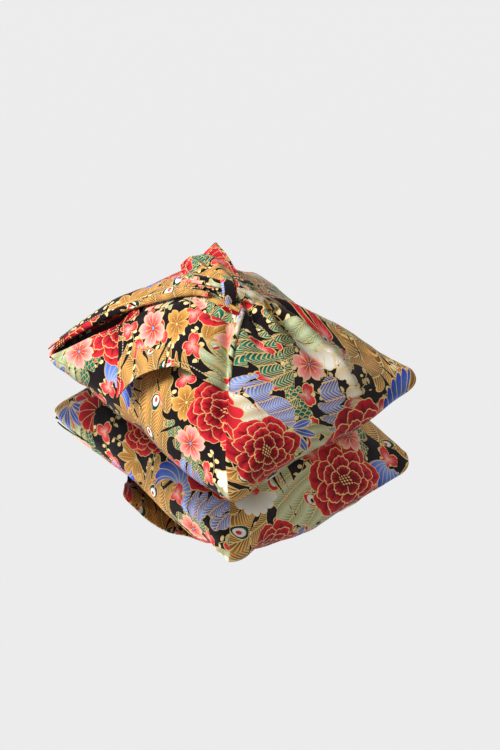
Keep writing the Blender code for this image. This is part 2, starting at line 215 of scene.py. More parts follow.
class Side(Enum):
    """A side of the bundle, with the direction in which its cloth runs level."""

    FRONT = (1.0, 0.0)
    RIGHT = (0.0, 1.0)
    BACK = (-1.0, 0.0)
    LEFT = (0.0, -1.0)


SECTIONS = (
    Section("foot", 114, 88, 4.0, -8, 0, 0),
    Section("under", 127, 101, 4.6, -4, 8, 9),
    Section("hang", 140, 112, 5.5, 4, 23, 25),
    Section("rim", 144, 118, 6.5, 10, 39, 41),
    Section("side", 139, 115, 5.5, 3, 57, 53),
    Section("shoulder", 123, 102, 4.5, -4, 78, 69),
    Section("slope", 98, 80, 3.6, -6, 97, 88),
    Section("crown", 70, 57, 3.0, -4, 113, 106),
    Section("neck", 42, 34, 2.4, 0, 125, 121),
    Section("collar", 20, 17, 2.0, 0, 132, 131),
)
RIM_LEVEL = 3
TOP_LEVEL = len(SECTIONS) - 1

CORNERS = (-41, 40, 139, 220)
CORNER_SPREAD = 9

# Heights, and the shares of each Uneven row's reach and lift that are felt there
HEIGHTS = (0, 8, 23, 39, 57, 78, 97, 113, 132)
FELT_UNDER = (0.4, 0.8, 1, 0.25, 0, 0, 0, 0, 0)
FELT_RIM = (0, 0.1, 0.5, 1, 0.7, 0, 0, 0, 0)
FELT_ABOVE = (0, 0, 0, 0, 0.4, 1, 1, 0.6, 0)
LIFT_UNDER_SHARE = 0.5

UNEVEN = (
    Uneven("left_tip", 219, 7, 0, 8, 4, -4, 1),
    Uneven("left_face", 240, 18, 0, -7.5, -10.5, -1, 0),
    Uneven("front_tip", -40, 6, 2, 10, 1, -3, -2),
    Uneven("front", -50, 20, 8.5, -13, -1.5, 0, 0),
    Uneven("front_right", -26, 13, -4, -6, -6, 0, -2),
    Uneven("right_low", -6, 20, -16, 3, 3, 3, 0),
    Uneven("right", 36, 16, -14, 6, 5, 9, 2),
    Uneven("right_back", 88, 34, 0, 0, -10, 0, -3),
    Uneven("hem_face", 283, 24, 0, 0, -2, 0, 0),
    Uneven("hem_side", 264, 16, -2.5, -5, -5.5, 0, 0),
)

# The folds of the frame, with the crisper edges and small creases that only show close by
FRONT_ROLL = Fold("front_rolled_edge", (344, 8.35), (322, 7.0), (319, 3.5), (3, 5, 4), 3, 20)
RIGHT_ROLL = Fold("right_rolled_edge", (64, 8.4), (50, 6.6), (42, 3.7), (2, 4, 3), 18, 4)
BACK_ROLL = Fold("back_rolled_edge", (116, 8.4), (133, 6.6), (139, 3.7), (2, 4, 3), 4, 18)
POCKET = Fold("pocket", (213, 6.6), (218.5, 5.3), (220.3, 3.7), (0, -14, -11), 6, 7)
FOLDS = (
    FRONT_ROLL,
    RIGHT_ROLL,
    BACK_ROLL,
    POCKET,
    Fold("valley_by_front", (357, 8.5), (351, 7.9), (343, 7.0), (-4, -6, -1), 5, 5, 6),
    Fold("middle_pleat", (20, 8.3), (4, 7.4), (-3, 6.5), (3, 5, 1), 7, 7),
    Fold("deep_valley", (30, 8.2), (17, 7.1), (15, 5.6), (-4, -7, -2), 6, 6, 16),
    Fold("upper_pleat", (45, 8.2), (26, 7.0), (21, 5.4), (3, 5, 3), 6, 8),
    Fold("right_valley", (52, 8.0), (38, 6.6), (33, 5.2), (-3, -4, -1), 6, 6, 8),
    Fold("tan_pleat", (24, 6.2), (20, 5.5), (19, 4.3), (0, 3, 1), 7, 7),
    Fold("back_valley", (146, 8.2), (151, 7.1), (153, 5.7), (-3, -5, -1), 6, 6, 10),
    Fold("back_pleat", (160, 8.3), (163, 7.2), (164, 5.8), (2, 4, 1), 7, 7),
    Fold("left_valley", (176, 8.2), (176, 7.2), (175, 5.9), (-4, -6, -1), 6, 6, 10),
    Fold("left_pleat", (192, 8.2), (189, 7.2), (187, 5.9), (2, 4, 1), 7, 7),
)
CREASES = (
    Fold("tear_crease", (27, 8.5), (11, 7.9), (1, 6.9), (1.2, 1.8, 0), 2.5, 3.5),
    Fold("gather_1", (350, 8.6), (346, 8.0), (343, 7.0), (1.5, 1.2, 0), 3, 3),
    Fold("gather_2", (2, 8.7), (354, 8.1), (351, 7.3), (-1.6, -1.6, 0), 2.6, 2.6),
    Fold("gather_3", (12, 8.7), (2, 8.2), (357, 7.6), (1.4, 1.1, 0), 2.5, 2.5),
    Fold("gather_4", (38, 8.7), (34, 8.0), (30, 7.2), (-1.5, -1.3, 0), 2.5, 2.5),
    Fold("gather_5", (70, 8.7), (62, 7.8), (58, 6.8), (-1.6, -1.8, 0), 3, 3),
    Fold("right_crease_a", (53, 6.3), (50, 5.8), (48, 5.3), (-1.2, -1.8, 0), 2.5, 3.5),
    Fold("right_crease_b", (47, 6.2), (43, 5.5), (38, 4.6), (-1.0, -1.6, 0), 2.5, 3),
    Fold("front_tip_pucker", (322, 3.9), (326, 4.3), (333, 4.6), (-1.0, -1.4, 0), 3, 3),
    Fold("front_tip_puff", (318, 3.4), (315, 3.2), (311, 3.1), (2.0, 2.0, 0), 4, 4),
    Fold("right_sag", (352, 4.6), (5, 4.3), (22, 4.6), (-0.8, -1.5, 0), 9, 9),
    Fold("under_hem", (262, 4.4), (276, 4.2), (300, 4.5), (0, -1.5, 0), 9, 9),
    Fold("left_tip_pucker", (224, 3.2), (230, 3.6), (238, 3.7), (-1.0, -1.2, 0), 4, 4),
    Fold("back_crease_a", (88, 7.8), (90, 6.8), (97, 5.6), (-2.0, -1.8, 0), 7, 7),
    Fold("back_crease_b", (105, 8.3), (112, 7.4), (118, 6.4), (1.8, 1.5, 0), 5, 5),
    Fold("back_sag", (75, 4.6), (92, 4.3), (112, 4.7), (0, -2.0, 0), 10, 10),
    Fold("left_crease", (200, 7.4), (203, 6.4), (206, 5.2), (-1.2, -1.4, 0), 4, 4),
    Fold("left_sag", (165, 4.4), (180, 4.2), (198, 4.6), (0, -1.8, 0), 9, 9),
    Fold("under_front", (300, 2.4), (312, 1.6), (318, 0.8), (-1.0, -1.6, 0), 5, 5),
    Fold("under_left", (238, 2.5), (228, 1.7), (222, 0.8), (-1.0, -1.6, 0), 5, 5),
    Fold("under_right", (20, 2.4), (32, 1.6), (38, 0.8), (-1.0, -1.6, 0), 5, 5),
    Fold("under_back", (118, 2.4), (130, 1.6), (138, 0.8), (-1.0, -1.6, 0), 5, 5),
)
FOLD_STATIONS = 24
FOLD_END_LENGTH = 9.0
# How many widths away a fold is still felt
FOLD_REACH = 2.6
# Levels over which the folds fade in above the foot
FOOT_FADE = 0.8
# How far the pocket reaches from its middle, and how deep its lip is before its painted shade
# begins
POCKET_REACH = 110.0
POCKET_LIP = 1.0
# Levels and degrees over which a tuck takes up its hidden cloth
TUCK_LEVELS = 1.5
TUCK_TURN = 5
# The grid on which the bundle's sides are laid flat
FLAT_START = -60.0
FLAT_STEP = 2.0
FLAT_ROWS_PER_LEVEL = 10
# Keeps a place on that grid off its last row and column
FLAT_MARGIN = 1.001


@dataclass(frozen=True)
class Bundle:
    """The form that the cloth is wrapped into, as the frame has it."""

    sections: tuple[Section, ...] = SECTIONS
    uneven: tuple[Uneven, ...] = UNEVEN
    folds: tuple[Fold, ...] = FOLDS + CREASES

    def ring(self, section: Section, azimuth: Array) -> Array:
        """Return the points of one section at the given azimuths."""
        angle = np.radians(azimuth)
        power = section.squareness
        x_share = np.abs(np.cos(angle) / section.half_x) ** power
        y_share = np.abs(np.sin(angle) / section.half_y) ** power
        reach = (x_share + y_share) ** (-1 / power)
        corner = np.max([bell(turn_between(azimuth, at), CORNER_SPREAD) for at in CORNERS], axis=0)
        reach = reach + section.corner_reach * corner
        height = section.side_height + (section.corner_height - section.side_height) * corner
        under = np.interp(section.side_height, HEIGHTS, FELT_UNDER)
        rim = np.interp(section.side_height, HEIGHTS, FELT_RIM)
        above = np.interp(section.side_height, HEIGHTS, FELT_ABOVE)
        lifted = rim + LIFT_UNDER_SHARE * under * (section.side_height > 0)
        for row in self.uneven:
            share = bell(turn_between(azimuth, row.azimuth), row.spread)
            push = row.reach_under * under + row.reach_rim * rim + row.reach_above * above
            reach = reach + share * push
            height = height + share * (row.lift_rim * lifted + row.lift_above * above)
        return np.stack([reach * np.cos(angle), reach * np.sin(angle), height], axis=-1)

    def point(self, azimuth: Array, level: Array) -> Array:
        """Return points of the bundle without its folds, on a spline through the sections."""
        azimuth, level = np.broadcast_arrays(np.asarray(azimuth, float), np.asarray(level, float))
        rings = np.array([self.ring(section, azimuth) for section in self.sections])
        last = len(self.sections) - 1
        below = np.clip(np.floor(level).astype(int), 0, last - 1)

        def at(index: Array) -> Array:
            """Return each place's point in one section."""
            held = np.clip(index, 0, last)[None, ..., None]
            held = np.broadcast_to(held, (1,) + rings.shape[1:])
            return np.take_along_axis(rings, held, axis=0)[0]

        step = (level - below)[..., None]
        first, second, third, fourth = at(below - 1), at(below), at(below + 1), at(below + 2)
        result = 0.5 * (
            2 * second
            + (third - first) * step
            + (2 * first - 5 * second + 4 * third - fourth) * step**2
            + (3 * second - first - 3 * third + fourth) * step**3
        )
        result[..., 2] = np.maximum(result[..., 2], 0)
        return result

    def normal(self, azimuth: Array, level: Array) -> Array:
        """Return outward directions of the bundle without its folds."""
        small = 0.05
        above = np.minimum(level + small, TOP_LEVEL)
        below = np.maximum(level - small, 0)
        along = self.point(azimuth + 1, level) - self.point(azimuth - 1, level)
        upward = self.point(azimuth, above) - self.point(azimuth, below)
        return unit(np.cross(along, upward))

    def relief(self, azimuth: Array, level: Array, points: Array) -> Array:
        """Measure how far the folds push points of the bundle outwards.

        Args:
            azimuth: The points' azimuths.
            level: The points' levels.
            points: The points themselves.

        Returns:
            The push at each point, in millimetres.
        """
        relief = np.zeros(points.shape[:-1])
        for fold in self.folds:
            azimuths, levels = fold.path(np.linspace(0, 1, FOLD_STATIONS))
            path = self.point(azimuths, levels)
            reach = FOLD_REACH * max(fold.width_before, fold.width_after, FOLD_END_LENGTH)
            near = np.all((points > path.min(0) - reach) & (points < path.max(0) + reach), axis=-1)
            if near.any():
                relief[near] += self.fold_relief(fold, path, azimuths, azimuth[near], points[near])
        return relief * smooth(level / FOOT_FADE)

    def painted_pocket_shade(self, azimuth: Array, points: Array) -> Array:
        """Return 1 for points deep in the pocket, where the cloth is darkened as painted shade, and
        0 elsewhere.
        """
        azimuths, levels = POCKET.path(np.linspace(0, 1, FOLD_STATIONS))
        path = self.point(azimuths, levels)
        near = np.linalg.norm(points - path[len(path) // 2], axis=-1) < POCKET_REACH
        depth = np.zeros(points.shape[:-1])
        depth[near] = -self.fold_relief(POCKET, path, azimuths, azimuth[near], points[near])
        return smooth((depth - POCKET_LIP) / POCKET_LIP)

    def fold_relief(
        self,
        fold: Fold,
        path: Array,
        azimuths: Array,
        azimuth: Array,
        points: Array,
    ) -> Array:
        """Measure how far one fold pushes the points near it.

        Args:
            fold: The fold.
            path: The points of its path.
            azimuths: The azimuths of its path.
            azimuth: The azimuths of the points near it.
            points: The points near it.

        Returns:
            The push at each point, in millimetres.
        """
        rise = three_point_curve(fold.rise, np.linspace(0, 1, FOLD_STATIONS))
        nearest = np.full(len(points), np.inf)
        amount = np.zeros(len(points))
        last = FOLD_STATIONS - 2
        for index in range(FOLD_STATIONS - 1):
            start, step = path[index], path[index + 1] - path[index]
            length = np.linalg.norm(step)
            along = ((points - start) @ step) / length**2
            held = np.clip(along, 0, 1)
            distance = np.linalg.norm(points - start - held[:, None] * step, axis=-1)
            low_end = -math.inf if index == 0 else 0
            high_end = math.inf if index == last else 1
            past = (np.clip(along, low_end, high_end) - held) * length
            across = np.sqrt(np.maximum(distance**2 - past**2, 0))
            bearing = azimuths[index] + held * (azimuths[index + 1] - azimuths[index])
            after = turn_between(azimuth, bearing) > 0
            width = np.where(after, fold.width_after, fold.width_before)
            height = rise[index] + held * (rise[index + 1] - rise[index])
            value = height * bell(across, width) * bell(past, FOLD_END_LENGTH)
            closer = distance < nearest
            nearest = np.where(closer, distance, nearest)
            amount = np.where(closer, value, amount)
        return amount

    def folded(self, azimuth: Array, level: Array, lift: Union[Number, Array] = 0) -> Array:
        """Return points of the folded bundle, lifted off it by an amount."""
        azimuth, level = np.broadcast_arrays(np.asarray(azimuth, float), np.asarray(level, float))
        points = self.point(azimuth, level)
        amount = self.relief(azimuth, level, points) + lift
        return points + self.normal(azimuth, level) * amount[..., None]

    def seam(self, corner: int, level: Array) -> Array:
        """Return the azimuth of the folded edge that runs down to one corner."""
        fold = (FRONT_ROLL, RIGHT_ROLL, BACK_ROLL, POCKET)[corner]
        azimuth, height = fold.path(np.linspace(1, 0, FOLD_STATIONS))
        foot = CORNERS[corner]
        azimuth = foot + turn_between(azimuth, foot)
        return np.interp(level, np.append([0, 3], height), np.append([foot, foot], azimuth))

    def unrolled(self, side: Side, azimuth: Array, level: Array, points: Array) -> Array:
        """Lay points of one side flat, as the cloth was before it was folded.

        Args:
            side: The side whose cloth the points are in.
            azimuth: The points' azimuths.
            level: The points' levels.
            points: The points themselves.

        Returns:
            Places on the flat cloth: level distance, and distance down or up from the rim.
        """
        turns = np.arange(FLAT_START, FLAT_START + FULL_TURN + 1, FLAT_STEP)
        levels = np.linspace(0, TOP_LEVEL, TOP_LEVEL * FLAT_ROWS_PER_LEVEL + 1)
        turn_grid, level_grid = np.meshgrid(turns, levels)
        table = self.point(turn_grid, level_grid)
        steps = np.diff(table, axis=0)
        direction = np.array([*side.value, 0.0])
        level_part = steps @ direction
        length = np.sqrt(np.maximum((steps**2).sum(-1) - level_part**2, 0))
        slant = np.vstack([np.zeros(len(turns)), np.cumsum(length, axis=0)])
        slant -= slant[np.argmin(np.abs(levels - RIM_LEVEL))]
        turn_place = ((azimuth - FLAT_START) % FULL_TURN) / FLAT_STEP
        turn_place = np.clip(turn_place, 0, len(turns) - FLAT_MARGIN)
        level_place = np.clip(level * FLAT_ROWS_PER_LEVEL, 0, len(levels) - FLAT_MARGIN)
        column, row = turn_place.astype(int), level_place.astype(int)
        u, v = turn_place - column, level_place - row
        low = slant[row, column] * (1 - u) + slant[row, column + 1] * u
        high = slant[row + 1, column] * (1 - u) + slant[row + 1, column + 1] * u
        flat_x = points @ direction
        for fold in self.folds:
            if not fold.tuck:
                continue
            path_azimuth, path_level = fold.path(np.linspace(1, 0, FOLD_STATIONS))
            at = np.interp(level, path_level, path_azimuth)
            hidden = fold.tuck * smooth((level - path_level[0]) / TUCK_LEVELS)
            flat_x = flat_x + hidden * smooth(turn_between(azimuth, at) / TUCK_TURN + 0.5)
        return np.stack([flat_x, low * (1 - v) + high * v], axis=-1)


def linked(name: str, data: bpy.types.ID) -> Item:
    """Make an object of some data and link it to the scene."""
    item = bpy.data.objects.new(name, data)
    bpy.context.scene.collection.objects.link(item)
    return item


@dataclass
class ClothMesh:
    """A mesh of cloth being laid out, with where each corner lies on the flat cloth.

    Attributes:
        name: The piece's name.
        print_places: Where each lies in the print.
        edge_places: Where each lies along and in from a free edge.
    """

    name: str
    points: list[Array] = field(default_factory=list)
    print_places: list[Array] = field(default_factory=list)
    edge_places: list[Array] = field(default_factory=list)
    faces: list[tuple[int, ...]] = field(default_factory=list)
    count: int = 0

    def add_points(self, points: Array, print_places: Array, edge_places: Optional[Array]) -> int:
        """Add points with their places on the flat cloth.

        Args:
            points: The points, in millimetres.
            print_places: Where each lies in the print.
            edge_places: Where each lies along and in from a free edge, or None.

        Returns:
            The number of the first point added.
        """
        flat = np.asarray(points, float).reshape(-1, 3)
        first = self.count
        self.points.append(flat)
        self.print_places.append(np.asarray(print_places, float).reshape(-1, 2))
        if edge_places is None:
            edge_places = np.tile((0.0, NO_EDGE), (len(flat), 1))
        self.edge_places.append(np.asarray(edge_places, float).reshape(-1, 2))
        self.count += len(flat)
        return first

    def add_grid(
        self, first: int, rows: int, columns: int, closed: bool = False, flipped: bool = False
    ) -> None:
        """Add the quads of a grid of points, joined round its columns when closed."""
        for row in range(rows - 1):
            for column in range(columns if closed else columns - 1):
                after = (column + 1) % columns
                low = first + row * columns
                high = low + columns
                face = (low + column, low + after, high + after, high + column)
                self.faces.append(face[::-1] if flipped else face)

    def add_fan(self, centre: int, ring: Sequence[int]) -> None:
        """Close a ring of points onto its centre."""
        for index, here in enumerate(ring):
            self.faces.append((centre, here, ring[(index + 1) % len(ring)]))

    def add_layer(
        self,
        outer: Array,
        inner: Array,
        places: Array,
        edges: Array,
        inner_edges: Optional[Array] = None,
    ) -> None:
        """Add a closed layer of cloth between two grids of points.

        Args:
            outer: The right side of the cloth.
            inner: Its wrong side.
            places: Where the grid lies in the print.
            edges: Where the grid lies along and in from the free edge.
            inner_edges: The same for the wrong side, where it differs.
        """
        rows, columns = outer.shape[:2]
        front = self.add_points(outer, places, edges)
        back = self.add_points(inner, places, edges if inner_edges is None else inner_edges)
        self.add_grid(front, rows, columns)
        self.add_grid(back, rows, columns, flipped=True)
        border = list(range(columns))
        border += [row * columns + columns - 1 for row in range(1, rows)]
        border += [(rows - 1) * columns + column for column in range(columns - 2, -1, -1)]
        border += [row * columns for row in range(rows - 2, 0, -1)]
        for index, here in enumerate(border):
            there = border[(index + 1) % len(border)]
            self.faces.append((front + here, back + here, back + there, front + there))

    def add_tube(self, rings: Array, places: Array, ends: Sequence[Array]) -> None:
        """Add rings of points, closed onto a middle point at both ends.

        Args:
            rings: The rings' points, first ring to last.
            places: Where each lies in the print.
            ends: The middle points of the first and the last ring.
        """
        rows, columns = rings.shape[:2]
        first = self.add_points(rings, places, None)
        self.add_grid(first, rows, columns, closed=True)
        for end, start in zip(ends, (first, first + (rows - 1) * columns)):
            middle = self.add_points(end[None, :], places[0, 0][None, :], None)
            self.add_fan(middle, range(start, start + columns))

    def finish(self, merge: bool = False) -> Item:
        """Make the object.

        Args:
            merge: Whether points that lie on each other become one.

        Returns:
            The finished object, linked to the scene, in metres.
        """
        points = (np.vstack(self.points) - (BOX_MIDDLE[0], BOX_MIDDLE[1], 0)) * MM
        mesh = bpy.data.meshes.new(self.name)
        mesh.from_pydata(points.tolist(), [], self.faces)
        corners = np.empty(len(mesh.loops), dtype=np.int32)
        mesh.loops.foreach_get("vertex_index", corners)
        for name, places in ((PRINT_MAP, self.print_places), (EDGE_MAP, self.edge_places)):
            layer = mesh.uv_layers.new(name=name)
            at_corners = np.vstack(places)[corners] * MM
            layer.data.foreach_set("uv", at_corners.astype(np.float32).ravel())
        shape = bmesh.new()
        shape.from_mesh(mesh)
        if merge:
            bmesh.ops.remove_doubles(shape, verts=shape.verts, dist=MERGE_DISTANCE * MM)
        bmesh.ops.recalc_face_normals(shape, faces=shape.faces)
        shape.to_mesh(mesh)
        shape.free()
        mesh.shade_smooth()
        mesh.set_sharp_from_angle(angle=math.radians(SHARP_ANGLE))
        return linked(self.name, mesh)


def edge_values(edges: Sequence[Edge], count: int) -> tuple[Array, Array, Array]:
    """Return azimuth, level and stand-off on a smooth curve along a table of stations."""
    rows = spline_rows([(edge.azimuth, edge.level, edge.stand_off) for edge in edges], count)
    return rows[:, 0], rows[:, 1], np.maximum(rows[:, 2], 0)


def length_along(points: Array, axis: int) -> Array:
    """Return how far each point of a grid lies along one of its axes."""
    steps = np.linalg.norm(np.diff(points, axis=axis), axis=-1)
    start = np.zeros_like(np.take(steps, [0], axis=axis))
    return np.concatenate([start, np.cumsum(steps, axis=axis)], axis=axis)


def undulation(points: Array, height: float) -> Array:
    """Return the slow, uneven rise and fall of soft cloth at each point."""
    x, y, z = points[..., 0], points[..., 1], points[..., 2]
    slow = np.sin(0.061 * x + 0.034 * y + 0.9 * np.sin(0.023 * z + 0.031 * y))
    cross = np.sin(0.083 * y - 0.047 * x + 1.1 * np.sin(0.029 * x) + 0.05 * z)
    small = np.sin(0.157 * x + 0.121 * y - 0.09 * z + 1.7 * np.sin(0.051 * y + 0.6))
    return height * (0.5 * slow * cross + 0.35 * small * slow)


@dataclass(frozen=True)
class PrintPlace:
    """Where a piece was cut from the print: its turn in degrees, and its place."""

    turn: float
    at: Pair

    def lay(self, places: Array) -> Array:
        """Turn places on the flat cloth, then move them."""
        angle = math.radians(self.turn)
        x = places[..., 0] * math.cos(angle) - places[..., 1] * math.sin(angle)
        y = places[..., 0] * math.sin(angle) + places[..., 1] * math.cos(angle)
        return np.stack([x + self.at[0], y + self.at[1]], axis=-1)


class Piece:
    """A piece of the wrap's cloth."""

    def build(self) -> Item:
        """Build the piece's mesh."""
        raise NotImplementedError

    def dress(self, item: Item, cloth: Material) -> None:
        """Give the piece its cloth."""
        item.data.materials.append(cloth)


# How far in each row lies that closes the body's foot and top
CLOSING_SHARES = np.linspace(0, 0.9, 10)


@dataclass
class WrappedBody(Piece):
    """The cloth that is wrapped close round the bundle, over its foot and up to its collar.

    Attributes:
        soft_from: The level over which that begins, and how many levels it takes to fade in.
        soft_to: The level at which it has ended, and how many levels it takes to fade out.
        prints: Where each side lies in the print.
    """

    bundle: Bundle
    columns: tuple[int, ...] = (142, 166, 142, 166)
    rows_per_section: tuple[int, ...] = (8, 12, 11, 12, 17, 19, 19, 18, 14)
    collar_rise: float = 2.0
    softness: float = 0.9
    soft_from: Pair = (0.3, 1.2)
    soft_to: Pair = (8.6, 1.0)
    prints: tuple[PrintPlace, ...] = (
        PrintPlace(12, (40, 208)),
        PrintPlace(-30, (160, 30)),
        PrintPlace(5, (110, 150)),
        PrintPlace(80, (150, 260)),
    )

    def build(self) -> Item:
        """Build the closed body from its four sides."""
        mesh = ClothMesh("wrapped_body")
        level = np.concatenate(
            [
                np.linspace(low, low + 1, count, endpoint=False)
                for low, count in enumerate(self.rows_per_section)
            ]
            + [np.array([float(TOP_LEVEL)])]
        )
        rims, tops = [], []
        for corner, side in enumerate((Side.RIGHT, Side.BACK, Side.LEFT, Side.FRONT)):
            count = self.columns[corner]
            start = self.bundle.seam(corner, level)
            end = self.bundle.seam((corner + 1) % 4, level)
            end = start + (end - start) % FULL_TURN
            share = np.linspace(0, 1, count + 1)
            azimuth = start[:, None] + (end - start)[:, None] * share[None, :]
            levels = np.broadcast_to(level[:, None], azimuth.shape)
            bare = self.bundle.point(azimuth, levels)
            soft = undulation(bare, self.softness)
            soft = soft * smooth((levels - self.soft_from[0]) / self.soft_from[1])
            soft = soft * smooth((self.soft_to[0] - levels) / self.soft_to[1])
            points = self.bundle.folded(azimuth, levels, soft)
            points[..., 2] = np.maximum(points[..., 2], 0)
            flat = self.bundle.unrolled(side, azimuth, levels, bare)
            places = self.prints[corner].lay(flat)
            # Painted shade: deep in the pocket the edge map gets a value that darkens the cloth
            pocket_shade_share = self.bundle.painted_pocket_shade(azimuth, bare)
            inward = NO_EDGE * (1 - pocket_shade_share) + POCKET_SHADE_INWARD * pocket_shade_share
            edges = np.stack([np.zeros_like(pocket_shade_share), inward], axis=-1)
            first = mesh.add_points(points, places, edges)
            mesh.add_grid(first, len(level), count + 1)
            rims.append(points[0, :-1])
            tops.append(points[-1, :-1])
        self.close(mesh, np.vstack(rims), 0.0)
        self.close(mesh, np.vstack(tops), self.bundle.sections[-1].side_height + self.collar_rise)
        return mesh.finish(merge=True)

    def close(self, mesh: ClothMesh, ring: Array, height: float) -> None:
        """Close a ring of points with rows that shrink to its middle.

        Args:
            mesh: The mesh to add to.
            ring: The ring's points.
            height: The height of the middle.
        """
        middle = np.array([0.0, 0.0, height])
        rows = np.array([ring + (middle - ring) * share for share in CLOSING_SHARES])
        first = mesh.add_points(rows, rows[..., :2], None)
        mesh.add_grid(first, len(rows), len(ring), closed=True)
        centre = mesh.add_points(middle[None, :], middle[None, :2], None)
        last = first + (len(rows) - 1) * len(ring)
        mesh.add_fan(centre, range(last, last + len(ring)))

    def dress(self, item: Item, cloth: Material) -> None:
        """Give the body its cloth and hide the imported frame."""
        super().dress(item, cloth)
        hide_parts(CAD_NODE)


@dataclass
class HemPanel(Piece):
    """The loose panel on the -Y side, free along its left edge and its arched hem.

    Attributes:
        lean: Degrees that it turns for each level above the hem, at its right end.
        settle: How fast it comes down onto the bundle above the hem.
        fades: Shares over which it comes out of the body, at its left, its top and its right.
        stand: How far its right side stands off the body even at rest.
        sink: How far it goes into the body where it is covered.
        soft_shift: Moves that rise and fall against the body's.
    """

    bundle: Bundle
    hem: tuple[Edge, ...] = (
        Edge("under_border", 213, 5.85, 0.5),
        Edge("left_top", 227.5, 5.6, 1),
        Edge("left_middle", 237, 5.2, 2),
        Edge("left_low", 244.5, 4.8, 3.5),
        Edge("left_turn", 250, 4.4, 5.5),
        Edge("left_corner", 255, 4.1, 8),
        Edge("corner", 261, 3.9, 15),
        Edge("rises", 263.8, 4.25, 17),
        Edge("left_arch", 267.5, 4.7, 17.5),
        Edge("arch", 274, 5.15, 17.5),
        Edge("high_arch", 282.5, 5.6, 15.5),
        Edge("top", 289, 5.9, 12),
        Edge("right_arch", 296, 6.0, 8),
        Edge("falls", 306.5, 6.0, 4),
        Edge("right_end", 321, 6.1, 1),
    )
    top: float = 8.4
    columns: int = 190
    rows: int = 110
    lean: float = 6.5
    settle: float = 1.5
    fades: Triple = (0.04, 0.2, 0.05)
    softness: float = 1.0
    soft_shift: Triple = (31, 7, 0)
    stand: float = 2.5
    thickness: float = 1.1
    sink: float = 1.6
    cut: PrintPlace = PrintPlace(8, (60, 40))
    flat: Pair = (0.19, 0.13)
    area: float = 0.0126

    def build(self) -> Item:
        """Build the panel as one thin layer that is sunk into the body at its covered edges."""
        hem_azimuth, hem_level, stand_off = edge_values(self.hem, self.columns)
        down = np.linspace(0, 1, self.rows)[:, None]
        across = np.linspace(0, 1, self.columns)[None, :]
        level = self.top + (hem_level[None, :] - self.top) * down
        rise = np.maximum(level - hem_level[None, :], 0)
        azimuth = hem_azimuth[None, :] + across * rise * self.lean
        left, above, right = self.fades
        shown = smooth(across / left) * smooth(down / above) * smooth((1 - across) / right)
        gap = stand_off[None, :] * down**self.settle
        bare = self.bundle.point(azimuth, level)
        soft = undulation(bare + self.soft_shift, self.softness) * shown
        outer_lift = gap + self.stand * shown - self.sink * (1 - shown) + soft
        outer = self.bundle.folded(azimuth, level, outer_lift)
        inner = self.bundle.folded(azimuth, level, outer_lift - self.thickness)
        places = self.cut.lay(self.bundle.unrolled(Side.FRONT, azimuth, level, bare))
        up = length_along(outer, 0)
        along = length_along(outer, 1)[-1:, :].repeat(self.rows, 0)
        edges = np.stack([along, up[-1:, :] - up], axis=-1)
        mesh = ClothMesh("hem_panel")
        mesh.add_layer(outer, inner, places, edges)
        return mesh.finish()

    def dress(self, item: Item, cloth: Material) -> None:
        """Give the panel its cloth."""
        super().dress(item, cloth)


@dataclass
class EdgeFold(Piece):
    """A fold of the cloth beside the pocket, free along one edge and joined to a side beyond it.

    Attributes:
        sweep: How far it reaches from that edge, in degrees; below 0 towards lower azimuths.
        shown_width: The share of its width over which it sinks into the body.
        stand: How far its right side stands off the body at the free edge.
        sink: How far it goes into the body where it is covered.
        crowding: How much closer its columns lie at the free edge.
        settle: How fast it comes down onto the body.
        relief_from: The share of its width over which the body's folds begin to show in it.
        soft_start: The share of its length over which that begins.
    """

    bundle: Bundle
    name: str
    edge: tuple[Edge, ...]
    sweep: float
    side: Side
    cut: PrintPlace
    flat: Pair
    area: float
    shown_width: float = 0.35
    stand: float = 2.5
    thickness: float = 1.2
    sink: float = 1.6
    columns: int = 60
    rows: int = 170
    crowding: float = 1.3
    settle: float = 1.5
    relief_from: float = 0.5
    softness: float = 0.7
    soft_start: float = 0.1

    def build(self) -> Item:
        """Build the fold as one thin layer that merges with the body away from its free edge."""
        edge_azimuth, edge_level, stand_off = edge_values(self.edge, self.rows)
        across = np.linspace(0, 1, self.columns)[None, :] ** self.crowding
        along = np.linspace(0, 1, self.rows)[:, None]
        azimuth = edge_azimuth[:, None] + self.sweep * across
        level = np.broadcast_to(edge_level[:, None], azimuth.shape)
        shown = smooth((1 - across) / self.shown_width)
        gap = stand_off[:, None] * (1 - across) ** self.settle
        bare = self.bundle.point(azimuth, level)
        relief = self.bundle.relief(azimuth, level, bare) * smooth(across / self.relief_from)
        normal = self.bundle.normal(azimuth, level)
        lift = gap + self.stand * shown - self.sink * (1 - shown) + relief
        lift = lift + undulation(bare, self.softness) * shown * smooth(along / self.soft_start)
        outer = bare + normal * lift[..., None]
        inner = bare + normal * (lift - self.thickness)[..., None]
        places = self.cut.lay(self.bundle.unrolled(self.side, azimuth, level, bare))
        down = length_along(outer, 0)[:, :1].repeat(self.columns, 1)
        edges = np.stack([down, length_along(outer, 1)], axis=-1)
        mesh = ClothMesh(self.name)
        # Painted shade: the wrong side of the fold is darkened all over through the edge map
        shaded_wrong_side = np.full_like(edges, POCKET_SHADE_INWARD)
        mesh.add_layer(outer, inner, places, edges, shaded_wrong_side)
        return mesh.finish()

    def dress(self, item: Item, cloth: Material) -> None:
        """Give the fold its cloth."""
        super().dress(item, cloth)


